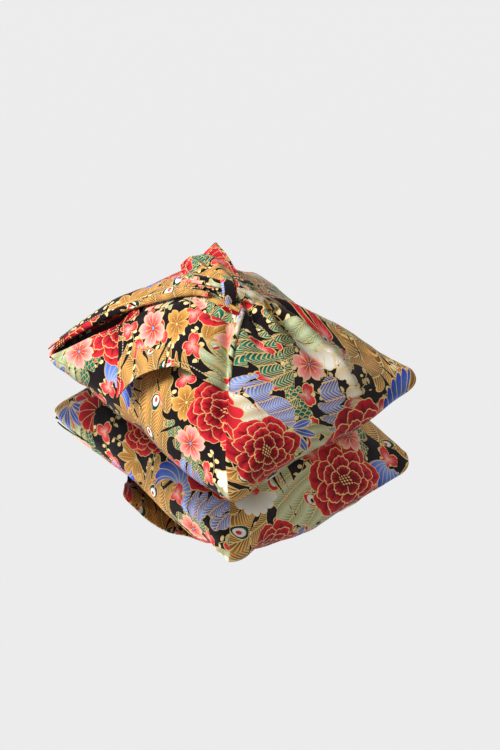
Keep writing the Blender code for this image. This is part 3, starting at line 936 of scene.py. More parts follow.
@dataclass
class GatheredCloth(Piece):
    """A length of cloth gathered into lengthwise pleats along a route.

    Attributes:
        section: Half its width and half its height.
        pleats: How many pleats run along it.
        depth: How deep they are, as a share of its size.
        twist: Turns that the pleats make along it.
        narrow: Its size at both ends, as a share of its size in the middle.
        taper: How fast it narrows towards both ends.
        shallow: The depth of its shallowest pleats, as a share of the deepest's.
        drift: How far the deep pleats wander round it.
    """

    name: str
    route: tuple[Triple, ...]
    section: Pair
    pleats: int
    depth: float
    twist: float
    narrow: float
    cut: PrintPlace
    flat: Pair
    columns: int = 84
    rows: int = 90
    taper: float = 0.7
    shallow: float = 0.75
    drift: float = 3.0
    sharpness: float = 1.6

    def build(self) -> Item:
        """Build the pleated length, closed at both ends."""
        centres = spline_rows(self.route, self.rows)
        tangents = unit(np.gradient(centres, axis=0))
        side = unit(np.cross(tangents, (0.0, 0.0, 1.0)))
        over = np.cross(side, tangents)
        share = np.linspace(0, 1, self.rows)
        turn = np.arange(self.columns) * 2 * math.pi / self.columns
        size = self.narrow + (1 - self.narrow) * np.sin(math.pi * share) ** self.taper
        phase = self.pleats * turn[None, :] + 2 * math.pi * self.twist * share[:, None]
        wander = np.sin(2 * turn[None, :] + self.drift * share[:, None])
        uneven = self.shallow + (1 - self.shallow) * wander
        pleat = 1 - self.depth * uneven * (0.5 - 0.5 * np.cos(phase)) ** self.sharpness
        radius = size[:, None] * pleat
        wide = (np.cos(turn)[None, :] * radius)[..., None] * self.section[0]
        high = (np.sin(turn)[None, :] * radius)[..., None] * self.section[1]
        points = centres[:, None, :] + (side[:, None, :] * wide + over[:, None, :] * high)
        girth = 2 * math.pi * (self.section[0] + self.section[1]) / 2
        run = length_along(centres, 0)
        around = girth * (1 + self.depth) * turn[None, :] / (2 * math.pi)
        flat_x = np.broadcast_to(around, radius.shape)
        flat_y = np.broadcast_to(run[:, None], radius.shape)
        mesh = ClothMesh(self.name)
        places = self.cut.lay(np.stack([flat_x, flat_y], axis=-1))
        mesh.add_tube(points, places, (centres[0], centres[-1]))
        return mesh.finish()

    def dress(self, item: Item, cloth: Material) -> None:
        """Give the length its cloth."""
        super().dress(item, cloth)


@dataclass
class KnotBody(Piece):
    """The rounded middle of the knot, where the cloth is drawn tight.

    Attributes:
        pleat_sway: How far the pleats sway as they run up it.
        pleat_pace: How fast they sway.
        pleat_fade: How the pleats fade towards its top and foot.
        girth_slack: How much more cloth goes round it than its own girth.
    """

    centre: Triple = (4, 8, 134)
    radii: Triple = (19, 15, 10.5)
    lobes: int = 5
    lobe_depth: float = 0.07
    pleats: int = 17
    pleat_depth: float = 0.045
    columns: int = 150
    rings: int = 70
    pleat_sway: float = 0.5
    pleat_pace: float = 1.3
    pleat_fade: float = 0.5
    girth_slack: float = 1.2
    cut: PrintPlace = PrintPlace(35, (128, 158))

    def build(self) -> Item:
        """Build the middle with its pleats drawn over it."""
        turn = np.arange(self.columns) * 2 * math.pi / self.columns
        lift = np.linspace(-0.5, 0.5, self.rings + 2)[1:-1] * math.pi
        turn_grid, lift_grid = np.meshgrid(turn, lift)
        lobes = 1 + self.lobe_depth * np.cos(self.lobes * turn_grid)
        sway = self.pleat_sway * np.sin(self.pleat_pace * lift_grid)
        fine = np.cos(self.pleats * (turn_grid + sway))
        lobes = lobes + self.pleat_depth * fine * np.cos(lift_grid) ** self.pleat_fade
        around = np.stack([np.cos(turn_grid), np.sin(turn_grid)], axis=-1)
        around = around * (np.cos(lift_grid) * lobes)[..., None]
        ball = np.concatenate([around, np.sin(lift_grid)[..., None]], axis=-1)
        flat_x = turn_grid * self.radii[0] * self.girth_slack
        places = self.cut.lay(np.stack([flat_x, lift_grid * self.radii[0]], axis=-1))
        poles = [np.array(self.centre) + (0, 0, sign * self.radii[2]) for sign in (-1, 1)]
        mesh = ClothMesh("knot_body")
        mesh.add_tube(ball * self.radii + self.centre, places, poles)
        return mesh.finish()

    def dress(self, item: Item, cloth: Material) -> None:
        """Give the middle its cloth."""
        super().dress(item, cloth)


@dataclass(frozen=True)
class EndCrease:
    """A crease in a tied end, between two places given as shares along and across it."""

    start: Pair
    end: Pair
    rise: float
    width: float


@dataclass
class TiedEnd(Piece):
    """A free end of the cloth beyond the knot.

    Attributes:
        rows: Points across the cloth, the first row at the knot and the last at the free edge.
        soft_scale: How much closer together that is than on the body.
        soft_start: The share of its length over which it begins.
        crease_ends: How much of a crease's height is left at its two ends.
    """

    name: str
    rows: tuple[tuple[Triple, ...], ...]
    creases: tuple[EndCrease, ...]
    cut: PrintPlace
    flat: Pair
    thickness: float = 1.4
    across: int = 110
    along: int = 120
    softness: float = 0.8
    soft_scale: float = 2.2
    soft_start: float = 0.25
    crease_ends: float = 0.4

    def build(self) -> Item:
        """Build the end as a thin creased layer."""
        lengthwise = spline_rows(self.rows, self.along)
        middle = spline_rows(lengthwise.transpose(1, 0, 2), self.across).transpose(1, 0, 2)
        normal = unit(np.cross(np.gradient(middle, axis=1), np.gradient(middle, axis=0)))
        shares = (np.linspace(0, 1, self.along), np.linspace(0, 1, self.across))
        down, over = np.meshgrid(*shares, indexing="ij")
        size = (length_along(middle, 0)[-1].mean(), length_along(middle, 1)[:, -1].mean())
        lift = undulation(middle * self.soft_scale, self.softness) * smooth(down / self.soft_start)
        for crease in self.creases:
            start = np.array(crease.start) * size
            step = np.array(crease.end) * size - start
            place = np.stack([down * size[0], over * size[1]], axis=-1) - start
            held = np.clip((place @ step) / (step @ step), 0, 1)
            distance = np.linalg.norm(place - held[..., None] * step, axis=-1)
            fullness = self.crease_ends + (1 - self.crease_ends) * np.sin(math.pi * held)
            lift = lift + crease.rise * bell(distance, crease.width) * fullness
        outer = middle + normal * (lift + self.thickness / 2)[..., None]
        inner = middle + normal * (lift - self.thickness / 2)[..., None]
        from_side = length_along(outer, 1)
        run = length_along(outer, 0)
        from_end = run[-1:, :] - run
        inward = np.minimum(np.minimum(from_side, from_side[:, -1:] - from_side), from_end)
        along = np.where(from_end < inward + SAME_DISTANCE, from_side, run)
        mesh = ClothMesh(self.name)
        places = self.cut.lay(np.stack([from_side, run], axis=-1))
        mesh.add_layer(outer, inner, places, np.stack([along, inward], axis=-1))
        return mesh.finish()

    def dress(self, item: Item, cloth: Material) -> None:
        """Give the end its cloth."""
        super().dress(item, cloth)


BACK_END_ROWS = (
    ((-12, -8, 135), (-10, -2, 141), (-8, 3, 143), (-4, 8, 142), (3, 14, 135)),
    ((-42, -12, 131), (-38, -2, 137), (-33, 6, 138), (-28, 14, 140), (-14, 24, 136)),
    ((-60, -7, 128), (-57, 4, 135), (-50, 11, 138), (-42, 20, 139), (-24, 28, 137)),
    ((-72, 1, 127.5), (-72, 10, 131), (-68, 17, 134), (-55, 23, 137), (-31, 30, 138)),
)
BACK_TIP_ROWS = (
    ((-64, 17, 131), (-46, 23, 134), (-26, 31, 133)),
    ((-61.5, 25, 138.5), (-51, 29, 141), (-42, 34, 140)),
    ((-57.8, 32.3, 146.3), (-57, 33, 147), (-56, 33.4, 146.3)),
)
FRONT_END_ROWS = (
    ((7, 3, 142), (12, 0, 142), (15, -2, 137)),
    ((14, 12, 139), (20, 7, 139), (25, 3, 133)),
    ((27, 20, 132), (31, 16, 132.5), (33, 13, 127)),
    ((35, 26, 125), (37, 25, 125), (38, 23, 123)),
)
LOOP_ROUTE = ((-18, 11, 132), (-8, 4, 142), (3, -3, 143.5), (12, -9, 139), (16, -11, 129))
TWIST_ROUTE = ((-58, -12, 118), (-40, -9, 127), (-22, -5, 134), (-4, 0, 138))
UPPER_ROLL_ROUTE = (
    (-10.4, -16.8, 129.2), (-1, -17, 131), (9, -14, 132), (19, -12, 132), (28, -10, 131),
)
LOWER_ROLL_ROUTE = (
    (0, -18, 129), (9, -17, 129.5), (17, -15, 129.5), (25, -13, 129), (31, -12, 127.5),
)
# Middles of the rolled borders, with their heights over the bundle
FLAP_BORDER = (
    Edge("knot", 250, 9.0, 4),
    Edge("collar", 216, 8.4, 4),
    Edge("neck", 213, 7.85, 4),
    Edge("crown", 212.5, 6.85, 4),
    Edge("slope", 213, 6.0, 4),
    Edge("shoulder", 214.3, 5.3, 4),
    Edge("side", 217.2, 4.5, 4),
    Edge("rim", 218.8, 3.9, 2.5),
    Edge("tip", 219.5, 3.4, -3),
)
FRONT_BORDER = (
    Edge("knot", 346, 8.5, 4),
    Edge("neck", 333, 7.95, 5),
    Edge("slope", 325.5, 7.3, 5.5),
    Edge("crown", 322, 6.8, 5.5),
    Edge("end", 320.5, 6.4, 3),
)
FLAP_EDGE = (
    Edge("knot", 217, 8.7, 1),
    Edge("neck", 211, 7.7, 1.5),
    Edge("crown", 211, 6.7, 1.5),
    Edge("slope", 212.5, 5.9, 2),
    Edge("shoulder", 214.3, 5.2, 2.5),
    Edge("side", 216, 4.4, 2.5),
    Edge("tip", 219, 3.4, 1.5),
)
CORNER_EDGE = (
    Edge("tip", 221.5, 3.35, 0.5),
    Edge("side", 222.5, 4.1, 2),
    Edge("shoulder", 222.5, 5.0, 2),
    Edge("top", 220.5, 5.7, 1),
    Edge("under_flap", 212, 6.4, 0),
)


def border_route(bundle: Bundle, stations: Sequence[Edge]) -> Array:
    """Return the middles of a rolled border at the stations of its table."""
    rows = [(edge.azimuth, edge.level, edge.stand_off) for edge in stations]
    azimuth, level, height = np.array(rows).T
    return bundle.point(azimuth, level) + bundle.normal(azimuth, level) * height[:, None]


def knot_pieces() -> list[Piece]:
    """Return the knot and the two tied ends."""
    back_creases = (
        EndCrease((0.0, 0.5), (0.7, 0.35), 3.0, 4),
        EndCrease((0.0, 0.3), (0.9, 0.15), -2.5, 4),
        EndCrease((0.1, 0.7), (0.95, 0.75), 2.5, 4),
        EndCrease((0.2, 0.55), (1.0, 0.5), -2.5, 4),
    )
    front_creases = (
        EndCrease((0.0, 0.5), (0.8, 0.4), 2.0, 3),
        EndCrease((0.2, 0.8), (0.9, 0.6), -1.5, 2.5),
    )
    loop_cut, twist_cut = PrintPlace(60, (8, 268)), PrintPlace(0, (20, 100))
    back_cut, tip_cut = PrintPlace(20, (230, 180)), PrintPlace(20, (206, 112))
    front_cut = PrintPlace(0, (224, 44))
    coarse = {"across": 70, "along": 70}
    return [
        KnotBody(),
        GatheredCloth(
            "knot_loop", LOOP_ROUTE, (6.5, 4.2), 5, 0.28, 0.2, 0.7, loop_cut, (0.02, 0.044)
        ),
        GatheredCloth(
            "knot_twist", TWIST_ROUTE, (7.0, 7.0), 6, 0.34, 0.7, 0.7, twist_cut, (0.026, 0.06)
        ),
        TiedEnd("back_tied_end", BACK_END_ROWS, back_creases, back_cut, (0.064, 0.045)),
        TiedEnd("back_tied_tip", BACK_TIP_ROWS, (), tip_cut, (0.034, 0.016), **coarse),
        TiedEnd("front_tied_end", FRONT_END_ROWS, front_creases, front_cut, (0.017, 0.038)),
    ]


def rolled_pieces(bundle: Bundle) -> list[Piece]:
    """Return the rolled borders and the two narrow rolls under the knot."""
    thin = {"columns": 40, "rows": 150}
    return [
        GatheredCloth(
            "flap_border", border_route(bundle, FLAP_BORDER), (4.2, 3.4), 3, 0.12, 0.6, 0.7,
            PrintPlace(0, (60, 20)), (0.0115, 0.19), **thin,
        ),
        GatheredCloth(
            "front_border", border_route(bundle, FRONT_BORDER), (2.6, 2.6), 2, 0.16, 0.4, 0.7,
            PrintPlace(0, (210, 30)), (0.0105, 0.067), **thin,
        ),
        GatheredCloth(
            "upper_roll", UPPER_ROLL_ROUTE, (3.0, 2.6), 3, 0.2, 0.5, 0.7,
            PrintPlace(30, (80, 60)), (0.0105, 0.037), **thin,
        ),
        GatheredCloth(
            "lower_roll", LOWER_ROLL_ROUTE, (3.0, 2.6), 3, 0.2, 0.5, 0.7,
            PrintPlace(10, (230, 300)), (0.0105, 0.031), **thin,
        ),
    ]


def cloth_pieces(bundle: Bundle) -> list[Piece]:
    """Return every piece of the wrap, in the order in which they are built."""
    body = WrappedBody(bundle)
    front_cut, left_cut = body.prints[3], body.prints[2]
    return [
        body,
        HemPanel(bundle),
        EdgeFold(bundle, "pocket_flap", FLAP_EDGE, -26, Side.LEFT, left_cut, (0.18, 0.085), 0.0081),
        EdgeFold(
            bundle, "corner_fold", CORNER_EDGE, 18, Side.FRONT, front_cut, (0.10, 0.07), 0.0040,
            shown_width=0.6, stand=1.4,
        ),
        *rolled_pieces(bundle),
        *knot_pieces(),
    ]


# Finishes


class Ink(Enum):
    """The print's colours, as they look in daylight."""

    GROUND = (18, 9, 12)
    OCHRE_DEEP = (112, 64, 22)
    OCHRE = (196, 134, 62)
    GREEN_DEEP = (82, 128, 104)
    GREEN = (184, 206, 172)
    TEAL_DEEP = (4, 58, 50)
    TEAL = (22, 122, 102)
    CRIMSON_DEEP = (118, 8, 22)
    CRIMSON = (214, 44, 56)
    CORAL = (226, 62, 66)
    CORAL_PALE = (248, 190, 176)
    TAN_DEEP = (148, 92, 34)
    TAN = (214, 160, 82)
    BLUE_DEEP = (36, 66, 170)
    BLUE = (120, 160, 232)
    WHITE = (232, 228, 216)
    GREY = (176, 172, 160)
    CREAM = (238, 222, 176)
    GOLD = (226, 192, 122)
    BLACK = (14, 12, 14)

    @property
    def linear(self) -> tuple[float, float, float, float]:
        """Return the colour as the shader wants it."""
        parts = [value / 255 for value in self.value]
        red, green, blue = (
            part / 12.92 if part <= 0.04045 else ((part + 0.055) / 1.055) ** 2.4 for part in parts
        )
        return (red, green, blue, 1.0)


@dataclass(frozen=True)
class Wire:
    """A value that runs from one node to the next, and can be reckoned with."""

    net: "Net"
    socket: bpy.types.NodeSocket

    def __add__(self, other: "Value") -> "Wire":
        """Add."""
        return self.net.math("ADD", self, other)

    def __radd__(self, other: "Value") -> "Wire":
        """Add."""
        return self.net.math("ADD", other, self)

    def __sub__(self, other: "Value") -> "Wire":
        """Subtract."""
        return self.net.math("SUBTRACT", self, other)

    def __rsub__(self, other: "Value") -> "Wire":
        """Subtract from a number."""
        return self.net.math("SUBTRACT", other, self)

    def __mul__(self, other: "Value") -> "Wire":
        """Multiply."""
        return self.net.math("MULTIPLY", self, other)

    def __rmul__(self, other: "Value") -> "Wire":
        """Multiply."""
        return self.net.math("MULTIPLY", other, self)

    def __truediv__(self, other: "Value") -> "Wire":
        """Divide."""
        return self.net.math("DIVIDE", self, other)

    def __pow__(self, other: "Value") -> "Wire":
        """Raise to a power."""
        return self.net.math("POWER", self, other)

    def __lt__(self, other: "Value") -> "Wire":
        """Return 1 where this is less."""
        return self.net.math("LESS_THAN", self, other)

    def __gt__(self, other: "Value") -> "Wire":
        """Return 1 where this is more."""
        return self.net.math("GREATER_THAN", self, other)

    def __abs__(self) -> "Wire":
        """Drop the sign."""
        return self.net.math("ABSOLUTE", self)


Value = Union[Wire, Number, Ink, Sequence[float]]
# The colour that a noise gives on average
MID_COLOUR = (0.5, 0.5, 0.5)


@dataclass(frozen=True)
class Drawn:
    """What a motif puts on the cloth: its colour, where it is, and where its gold lines are."""

    colour: Wire
    shape: Wire
    gold: Wire


@dataclass(frozen=True)
class Net:
    """A node tree being wired up."""

    tree: bpy.types.NodeTree

    def set(self, socket: bpy.types.NodeSocket, value: Value) -> None:
        """Link a wire to a socket, or write a number, colour or vector on it."""
        if isinstance(value, Wire):
            self.tree.links.new(value.socket, socket)
        else:
            socket.default_value = value.linear if isinstance(value, Ink) else value

    def node(self, kind: str, inputs: Optional[dict] = None, **settings: object) -> bpy.types.Node:
        """Add a node.

        Args:
            kind: Blender's name of the node type.
            inputs: A value for each input socket that needs one.
            **settings: The node's own settings.

        Returns:
            The node.
        """
        node = self.tree.nodes.new(kind)
        for name, setting in settings.items():
            setattr(node, name, setting)
        for name, value in (inputs or {}).items():
            self.set(node.inputs[name], value)
        return node

    def math(self, operation: str, *values: Value, clamp: bool = False) -> Wire:
        """Return the result of a Math node."""
        inputs = dict(enumerate(values))
        node = self.node("ShaderNodeMath", inputs, operation=operation, use_clamp=clamp)
        return Wire(self, node.outputs[0])

    def vector(self, operation: str, *values: Value) -> Wire:
        """Return the result of a Vector Math node."""
        node = self.node("ShaderNodeVectorMath", dict(enumerate(values)), operation=operation)
        return Wire(self, node.outputs["Value" if operation == "LENGTH" else "Vector"])

    def scaled(self, vector: Value, amount: Value) -> Wire:
        """Return a vector times a number."""
        node = self.node("ShaderNodeVectorMath", {0: vector, "Scale": amount}, operation="SCALE")
        return Wire(self, node.outputs["Vector"])

    def parts(self, vector: Value) -> tuple[Wire, Wire, Wire]:
        """Return a vector's three parts."""
        node = self.node("ShaderNodeSeparateXYZ", {0: vector})
        return Wire(self, node.outputs[0]), Wire(self, node.outputs[1]), Wire(self, node.outputs[2])

    def join(self, x: Value, y: Value) -> Wire:
        """Return a flat vector of two parts."""
        return Wire(self, self.node("ShaderNodeCombineXYZ", {0: x, 1: y}).outputs[0])

    def polar(self, place: Value) -> tuple[Wire, Wire]:
        """Return a place's distance from the middle and its angle."""
        x, y, _ = self.parts(place)
        return self.vector("LENGTH", place), self.math("ARCTAN2", y, x)

    def mix(self, share: Value, first: Value, second: Value) -> Wire:
        """Return a colour between two."""
        node = self.node("ShaderNodeMix", {0: share, 6: first, 7: second}, data_type="RGBA")
        return Wire(self, node.outputs[2])

    def pick(self, share: Value, first: Value, second: Value) -> Wire:
        """Return a number between two."""
        return Wire(self, self.node("ShaderNodeMix", {0: share, 2: first, 3: second}).outputs[0])

    def pick_place(self, share: Value, first: Value, second: Value) -> Wire:
        """Return a place between two."""
        node = self.node("ShaderNodeMix", {0: share, 4: first, 5: second}, data_type="VECTOR")
        return Wire(self, node.outputs[1])

    def held(self, value: Value, scale: Value = 1.0) -> Wire:
        """Return a number times a scale, held between 0 and 1."""
        return self.math("MULTIPLY", value, scale, clamp=True)

    def either(self, first: Value, second: Value) -> Wire:
        """Return the larger of two numbers."""
        return self.math("MAXIMUM", first, second)

    def near(self, distance: Value, width: Value) -> Wire:
        """Return 1 within a width of a line."""
        return abs(distance) < width

    def noise(self, place: Value, scale: float, detail: float = 1.0) -> bpy.types.Node:
        """Add a noise of the given scale."""
        return self.node("ShaderNodeTexNoise", {"Vector": place, "Scale": scale, "Detail": detail})

    def warp(self, place: Value, scale: float, amount: float) -> Wire:
        """Return a place moved about by a slow noise."""
        colour = Wire(self, self.noise(place, scale).outputs["Color"])
        away = self.vector("SUBTRACT", colour, MID_COLOUR)
        return self.vector("ADD", place, self.scaled(away, amount))

    def placed(self, place: Value, turn: float, size: Pair) -> Wire:
        """Return a place as a motif sees it, turned as it is and in its own size."""
        inputs = {"Vector": place, "Rotation": (0.0, 0.0, turn), "Scale": (*size, 1.0)}
        return Wire(self, self.node("ShaderNodeMapping", inputs, vector_type="TEXTURE").outputs[0])

    def group(self, name: str, **inputs: Value) -> dict[str, Wire]:
        """Place a group and return its outputs by name."""
        node = self.node("ShaderNodeGroup", node_tree=bpy.data.node_groups[name])
        for key, value in inputs.items():
            self.set(node.inputs[key.replace("_", " ").capitalize()], value)
        return {output.name: Wire(self, output) for output in node.outputs}


SOCKETS = {"vector": "NodeSocketVector", "colour": "NodeSocketColor", "number": "NodeSocketFloat"}


@dataclass(frozen=True)
class Group:
    """A node group of the cloth, with named inputs and outputs.

    Attributes:
        inputs: Each input's name with its default: None for a place, an Ink or a number.
        outputs: Each output's name with its kind.
    """

    name: str
    inputs: tuple[tuple[str, object], ...]
    outputs: tuple[tuple[str, str], ...]

    def start(self) -> tuple[Net, dict[str, Wire], bpy.types.Node]:
        """Make the empty group and return its net, its inputs and its output node."""
        tree = bpy.data.node_groups.new(self.name, "ShaderNodeTree")
        for name, value in self.inputs:
            kind = "vector" if value is None else "colour" if isinstance(value, Ink) else "number"
            socket = tree.interface.new_socket(name, in_out="INPUT", socket_type=SOCKETS[kind])
            if value is not None:
                socket.default_value = value.linear if isinstance(value, Ink) else value
        for name, kind in self.outputs:
            tree.interface.new_socket(name, in_out="OUTPUT", socket_type=SOCKETS[kind])
        net = Net(tree)
        source = tree.nodes.new("NodeGroupInput")
        wires = {output.name: Wire(net, output) for output in source.outputs if output.name}
        return net, wires, tree.nodes.new("NodeGroupOutput")


MOTIF_OUTPUTS = (("Colour", "colour"), ("Shape", "number"), ("Gold", "number"))
FIELD_OUTPUTS = (("Colour", "colour"), ("Gold", "number"))
# Width of a gold line, as a share of a motif's radius
LINE = 0.022


class Motif:
    """A motif of the print, drawn once as a group round its own middle, at radius 1.

    Every length in a motif's drawing is a share of its radius.
    """

    name = "motif"
    settings: tuple[tuple[str, object], ...] = ()

    def draw(self, net: Net, place: Wire, given: dict[str, Wire]) -> Drawn:
        """Wire the motif up from its place and its settings."""
        raise NotImplementedError

    def make(self) -> None:
        """Make the motif's group."""
        inputs = (("Place", None),) + self.settings
        net, given, end = Group(self.name, inputs, MOTIF_OUTPUTS).start()
        drawn = self.draw(net, given["Place"], given)
        for name, wire in (("Colour", drawn.colour), ("Shape", drawn.shape), ("Gold", drawn.gold)):
            net.set(end.inputs[name], wire)


class Blossom(Motif):
    """A blossom of five notched petals with stamens."""

    name = "blossom"
    settings = (
        ("Edge", Ink.CORAL_PALE),
        ("Petal", Ink.CORAL),
        ("Heart", Ink.CRIMSON_DEEP),
        ("Eye", Ink.BLUE),
    )

    def draw(self, net: Net, place: Wire, given: dict[str, Wire]) -> Drawn:
        """Draw the petals, their veins and the stamens."""
        radius, angle = net.polar(place)
        lobe = abs(net.math("COSINE", angle * 2.5))
        edge = 0.56 + 0.44 * lobe**0.55 - net.either(lobe - 0.955, 0.0) * 2.6
        shape = radius < edge
        share = radius / edge
        ray = abs(net.math("SINE", angle * 5)) * radius * 0.2
        gap = (radius * lobe * 0.4 < LINE * 0.9) * (radius > 0.22)
        stamen = (ray < 0.011) * (radius < 0.46) * (radius > 0.12)
        tip = net.near(radius - 0.48, 0.035) * (ray < 0.035)
        colour = net.mix(net.held(share * share), given["Petal"], given["Edge"])
        colour = net.mix(net.held(net.either(0.55 - share, 0.0), 1.6), colour, given["Heart"])
        colour = net.mix(radius < 0.075, colour, given["Eye"])
        gold = net.held(net.near(radius - edge + 0.02, LINE * 1.3) + gap + stamen + tip) * shape
        return Drawn(colour, shape, gold)


class Peony(Motif):
    """A full peony: rings of ruffled petals round a heart of gold dots."""

    name = "peony"
    settings = (("Light", Ink.CRIMSON), ("Deep", Ink.CRIMSON_DEEP))
    rings = ((7, 0.0, 1.0), (8, 0.5, 0.80), (6, 1.4, 0.60), (5, 0.2, 0.38))

    def draw(self, net: Net, place: Wire, given: dict[str, Wire]) -> Drawn:
        """Draw each ring of petals over the one outside it."""
        place = net.warp(place, 1.3, 0.34)
        radius, angle = net.polar(place)
        ruffle = 0.03 * abs(net.math("SINE", angle * 13)) ** 0.7
        colour, gold, outline = given["Deep"], None, None
        for petals, phase, size in self.rings:
            lobe = abs(net.math("COSINE", angle * (petals / 2) + phase))
            edge = size * (0.74 + 0.22 * lobe**0.6) + ruffle
            inside = radius < edge
            between = (radius * lobe * (2 / petals) < LINE * 0.42) * inside
            between = between * (radius > size * 0.45)
            stripe = net.near(net.math("FRACT", angle * petals * 0.4775) - 0.5, 0.16) * 0.35
            depth = net.held((edge - radius) / (size * 0.36))
            shade = net.held(depth + stripe * (radius < edge * 0.9))
            colour = net.mix(inside, colour, net.mix(shade, given["Light"], given["Deep"]))
            line = net.near(radius - edge + 0.008, LINE * 0.5)
            if gold is None:
                outline, gold = inside, net.either(line, between)
            else:
                gold = net.pick(inside, net.either(gold, line), net.either(line, between))
        x, y, _ = net.parts(place)
        dot = net.join(net.math("FRACT", x * 14) - 0.5, net.math("FRACT", y * 14) - 0.5)
        gold = net.either(gold, (net.vector("LENGTH", dot) < 0.3) * (radius < 0.16)) * outline
        return Drawn(colour, outline, gold)


class FeatherFan(Motif):
    """A curled fan of long ribs with a scalloped edge."""

    name = "feather fan"
    settings = (
        ("Outer", Ink.BLUE_DEEP),
        ("Inner", Ink.BLUE),
        ("Ribs", 16.0),
        ("Curl", 1.0),
        ("Open", 1.35),
    )

    def draw(self, net: Net, place: Wire, given: dict[str, Wire]) -> Drawn:
        """Draw the ribs, the scallops and the two straight sides."""
        radius, bearing = net.polar(place)
        angle = bearing + radius * given["Curl"]
        lobe = abs(net.math("COSINE", angle * given["Ribs"] * 0.5))
        edge = 0.84 + 0.16 * lobe**0.6
        aside = abs(bearing + (radius - 0.6) * given["Curl"]) - given["Open"]
        shape = (radius < edge) * (radius > 0.16) * (aside < 0.0)
        rib = lobe * radius / given["Ribs"] * 2 < LINE * 0.5
        rim = net.near(radius - edge + 0.012, LINE * 0.7)
        gold = net.held(rib + rim + net.near(aside, LINE * 1.3)) * shape
        colour = net.mix(net.held(radius - 0.15, 1.25), given["Inner"], given["Outer"])
        return Drawn(colour, shape, gold)


class LeafSpray(Motif):
    """Five pointed leaves that spread from one stem."""

    name = "leaf spray"
    settings = (("Leaf", Ink.BLUE_DEEP), ("Vein", Ink.BLUE), ("Spread", 0.62), ("Fullness", 0.17))

    def draw(self, net: Net, place: Wire, given: dict[str, Wire]) -> Drawn:
        """Draw each leaf with its rib and slanted veins."""
        radius, angle = net.polar(net.vector("ADD", place, (0.45, 0.0, 0.0)))
        number = net.math("ROUND", angle / given["Spread"])
        number = net.math("MINIMUM", net.either(number, -2.0), 2.0)
        turn = angle - number * given["Spread"]
        x, y = radius * net.math("COSINE", turn), abs(radius * net.math("SINE", turn))
        share = x / (1.38 - 0.16 * abs(number))
        width = given["Fullness"] * 5.2 * share * net.either(1 - share, 0.0) * (0.55 + 0.45 * share)
        rim = net.near(y - width + 0.012, LINE * 0.8) * (share > 0.0) * (share < 1.0)
        shape = net.either((y < width) * (x > 0.03), rim)
        vein = net.math("FRACT", (x - y * 1.1) * 9) < 0.16
        colour = net.mix(net.held(y / (width + 0.001), 0.7), given["Leaf"], given["Vein"])
        colour = net.mix(vein * 0.5, colour, given["Vein"])
        return Drawn(colour, shape, net.held(rim + (y < LINE * 0.5)) * shape)


class BellFlower(Motif):
    """A small bell of three pointed petals."""

    name = "bell flower"
    settings = (("Petal", Ink.CRIMSON), ("Throat", Ink.CORAL_PALE))

    def draw(self, net: Net, place: Wire, given: dict[str, Wire]) -> Drawn:
        """Draw the petals with pale throats."""
        radius, angle = net.polar(place)
        lobe = abs(net.math("COSINE", angle * 1.5))
        edge = 0.34 + 0.64 * lobe**0.8 - net.either(lobe - 0.97, 0.0) * 3.0
        shape = radius < edge
        vein = net.near(net.math("FRACT", angle * 3.82) - 0.5, 0.06)
        vein = vein * (radius > 0.25) * (radius < edge * 0.75)
        colour = net.mix(net.held(0.6 - radius / edge, 1.5), given["Petal"], given["Throat"])
        colour = net.mix(vein * 0.5, colour, given["Throat"])
        gold = net.either(net.near(radius - edge + 0.03, LINE * 2) * shape, radius < 0.09)
        return Drawn(colour, shape, gold)


class RingDot(Motif):
    """An oval ring round a white spot with a dot in it."""

    name = "ring dot"
    settings = (("Ring", Ink.TEAL_DEEP), ("Dot", Ink.CRIMSON))

    def draw(self, net: Net, place: Wire, given: dict[str, Wire]) -> Drawn:
        """Draw the three ovals, each nearer to one end."""
        oval = net.vector("MULTIPLY", place, (1.0, 1.35, 0.0))
        spot = net.vector("LENGTH", net.vector("SUBTRACT", oval, (0.16, 0.0, 0.0)))
        dot = net.vector("LENGTH", net.vector("SUBTRACT", oval, (0.30, 0.0, 0.0)))
        radius = net.vector("LENGTH", oval)
        colour = net.mix(spot < 0.62, given["Ring"], Ink.WHITE)
        colour = net.mix(dot < 0.28, colour, given["Dot"])
        shape = radius < 1.0
        return Drawn(colour, shape, net.near(radius - 0.95, 0.06) * shape)


class BerrySprig(Motif):
    """A bent sprig with berries on both sides."""

    name = "berry sprig"
    settings = (("Berry", Ink.GOLD),)
    pitch = 0.26

    def draw(self, net: Net, place: Wire, given: dict[str, Wire]) -> Drawn:
        """Draw the stem and a berry on its twig at each step."""
        x, y, _ = net.parts(place)
        y = y - 0.28 * x * x
        number = net.math("ROUND", x / self.pitch)
        side = net.math("FLOORED_MODULO", number, 2.0) * 2.0 - 1.0
        step = x - number * self.pitch
        length = abs(x) < 0.85
        berry = (net.vector("LENGTH", net.join(step, (y - side * 0.21) * 0.8)) < 0.125) * length
        last = net.vector("LENGTH", net.join(x - 0.95, y)) < 0.12
        out = y * side
        stem = net.near(y, 0.016)
        twig = net.near(step, 0.014) * (out > 0.0) * (out < 0.2)
        stem = net.held(stem + twig) * length
        shape = net.held(berry + last + stem)
        return Drawn(net.mix(0.35, given["Berry"], Ink.CREAM), shape, stem)


@dataclass(frozen=True)
class Placed:
    """A motif's place on the repeat: its middle, turn in degrees, and half length and width."""

    x: float
    y: float
    turn: float
    length: float
    width: float = 0.0

    @property
    def size(self) -> Pair:
        """Return the half length and the half width."""
        return (self.length, self.width or self.length)


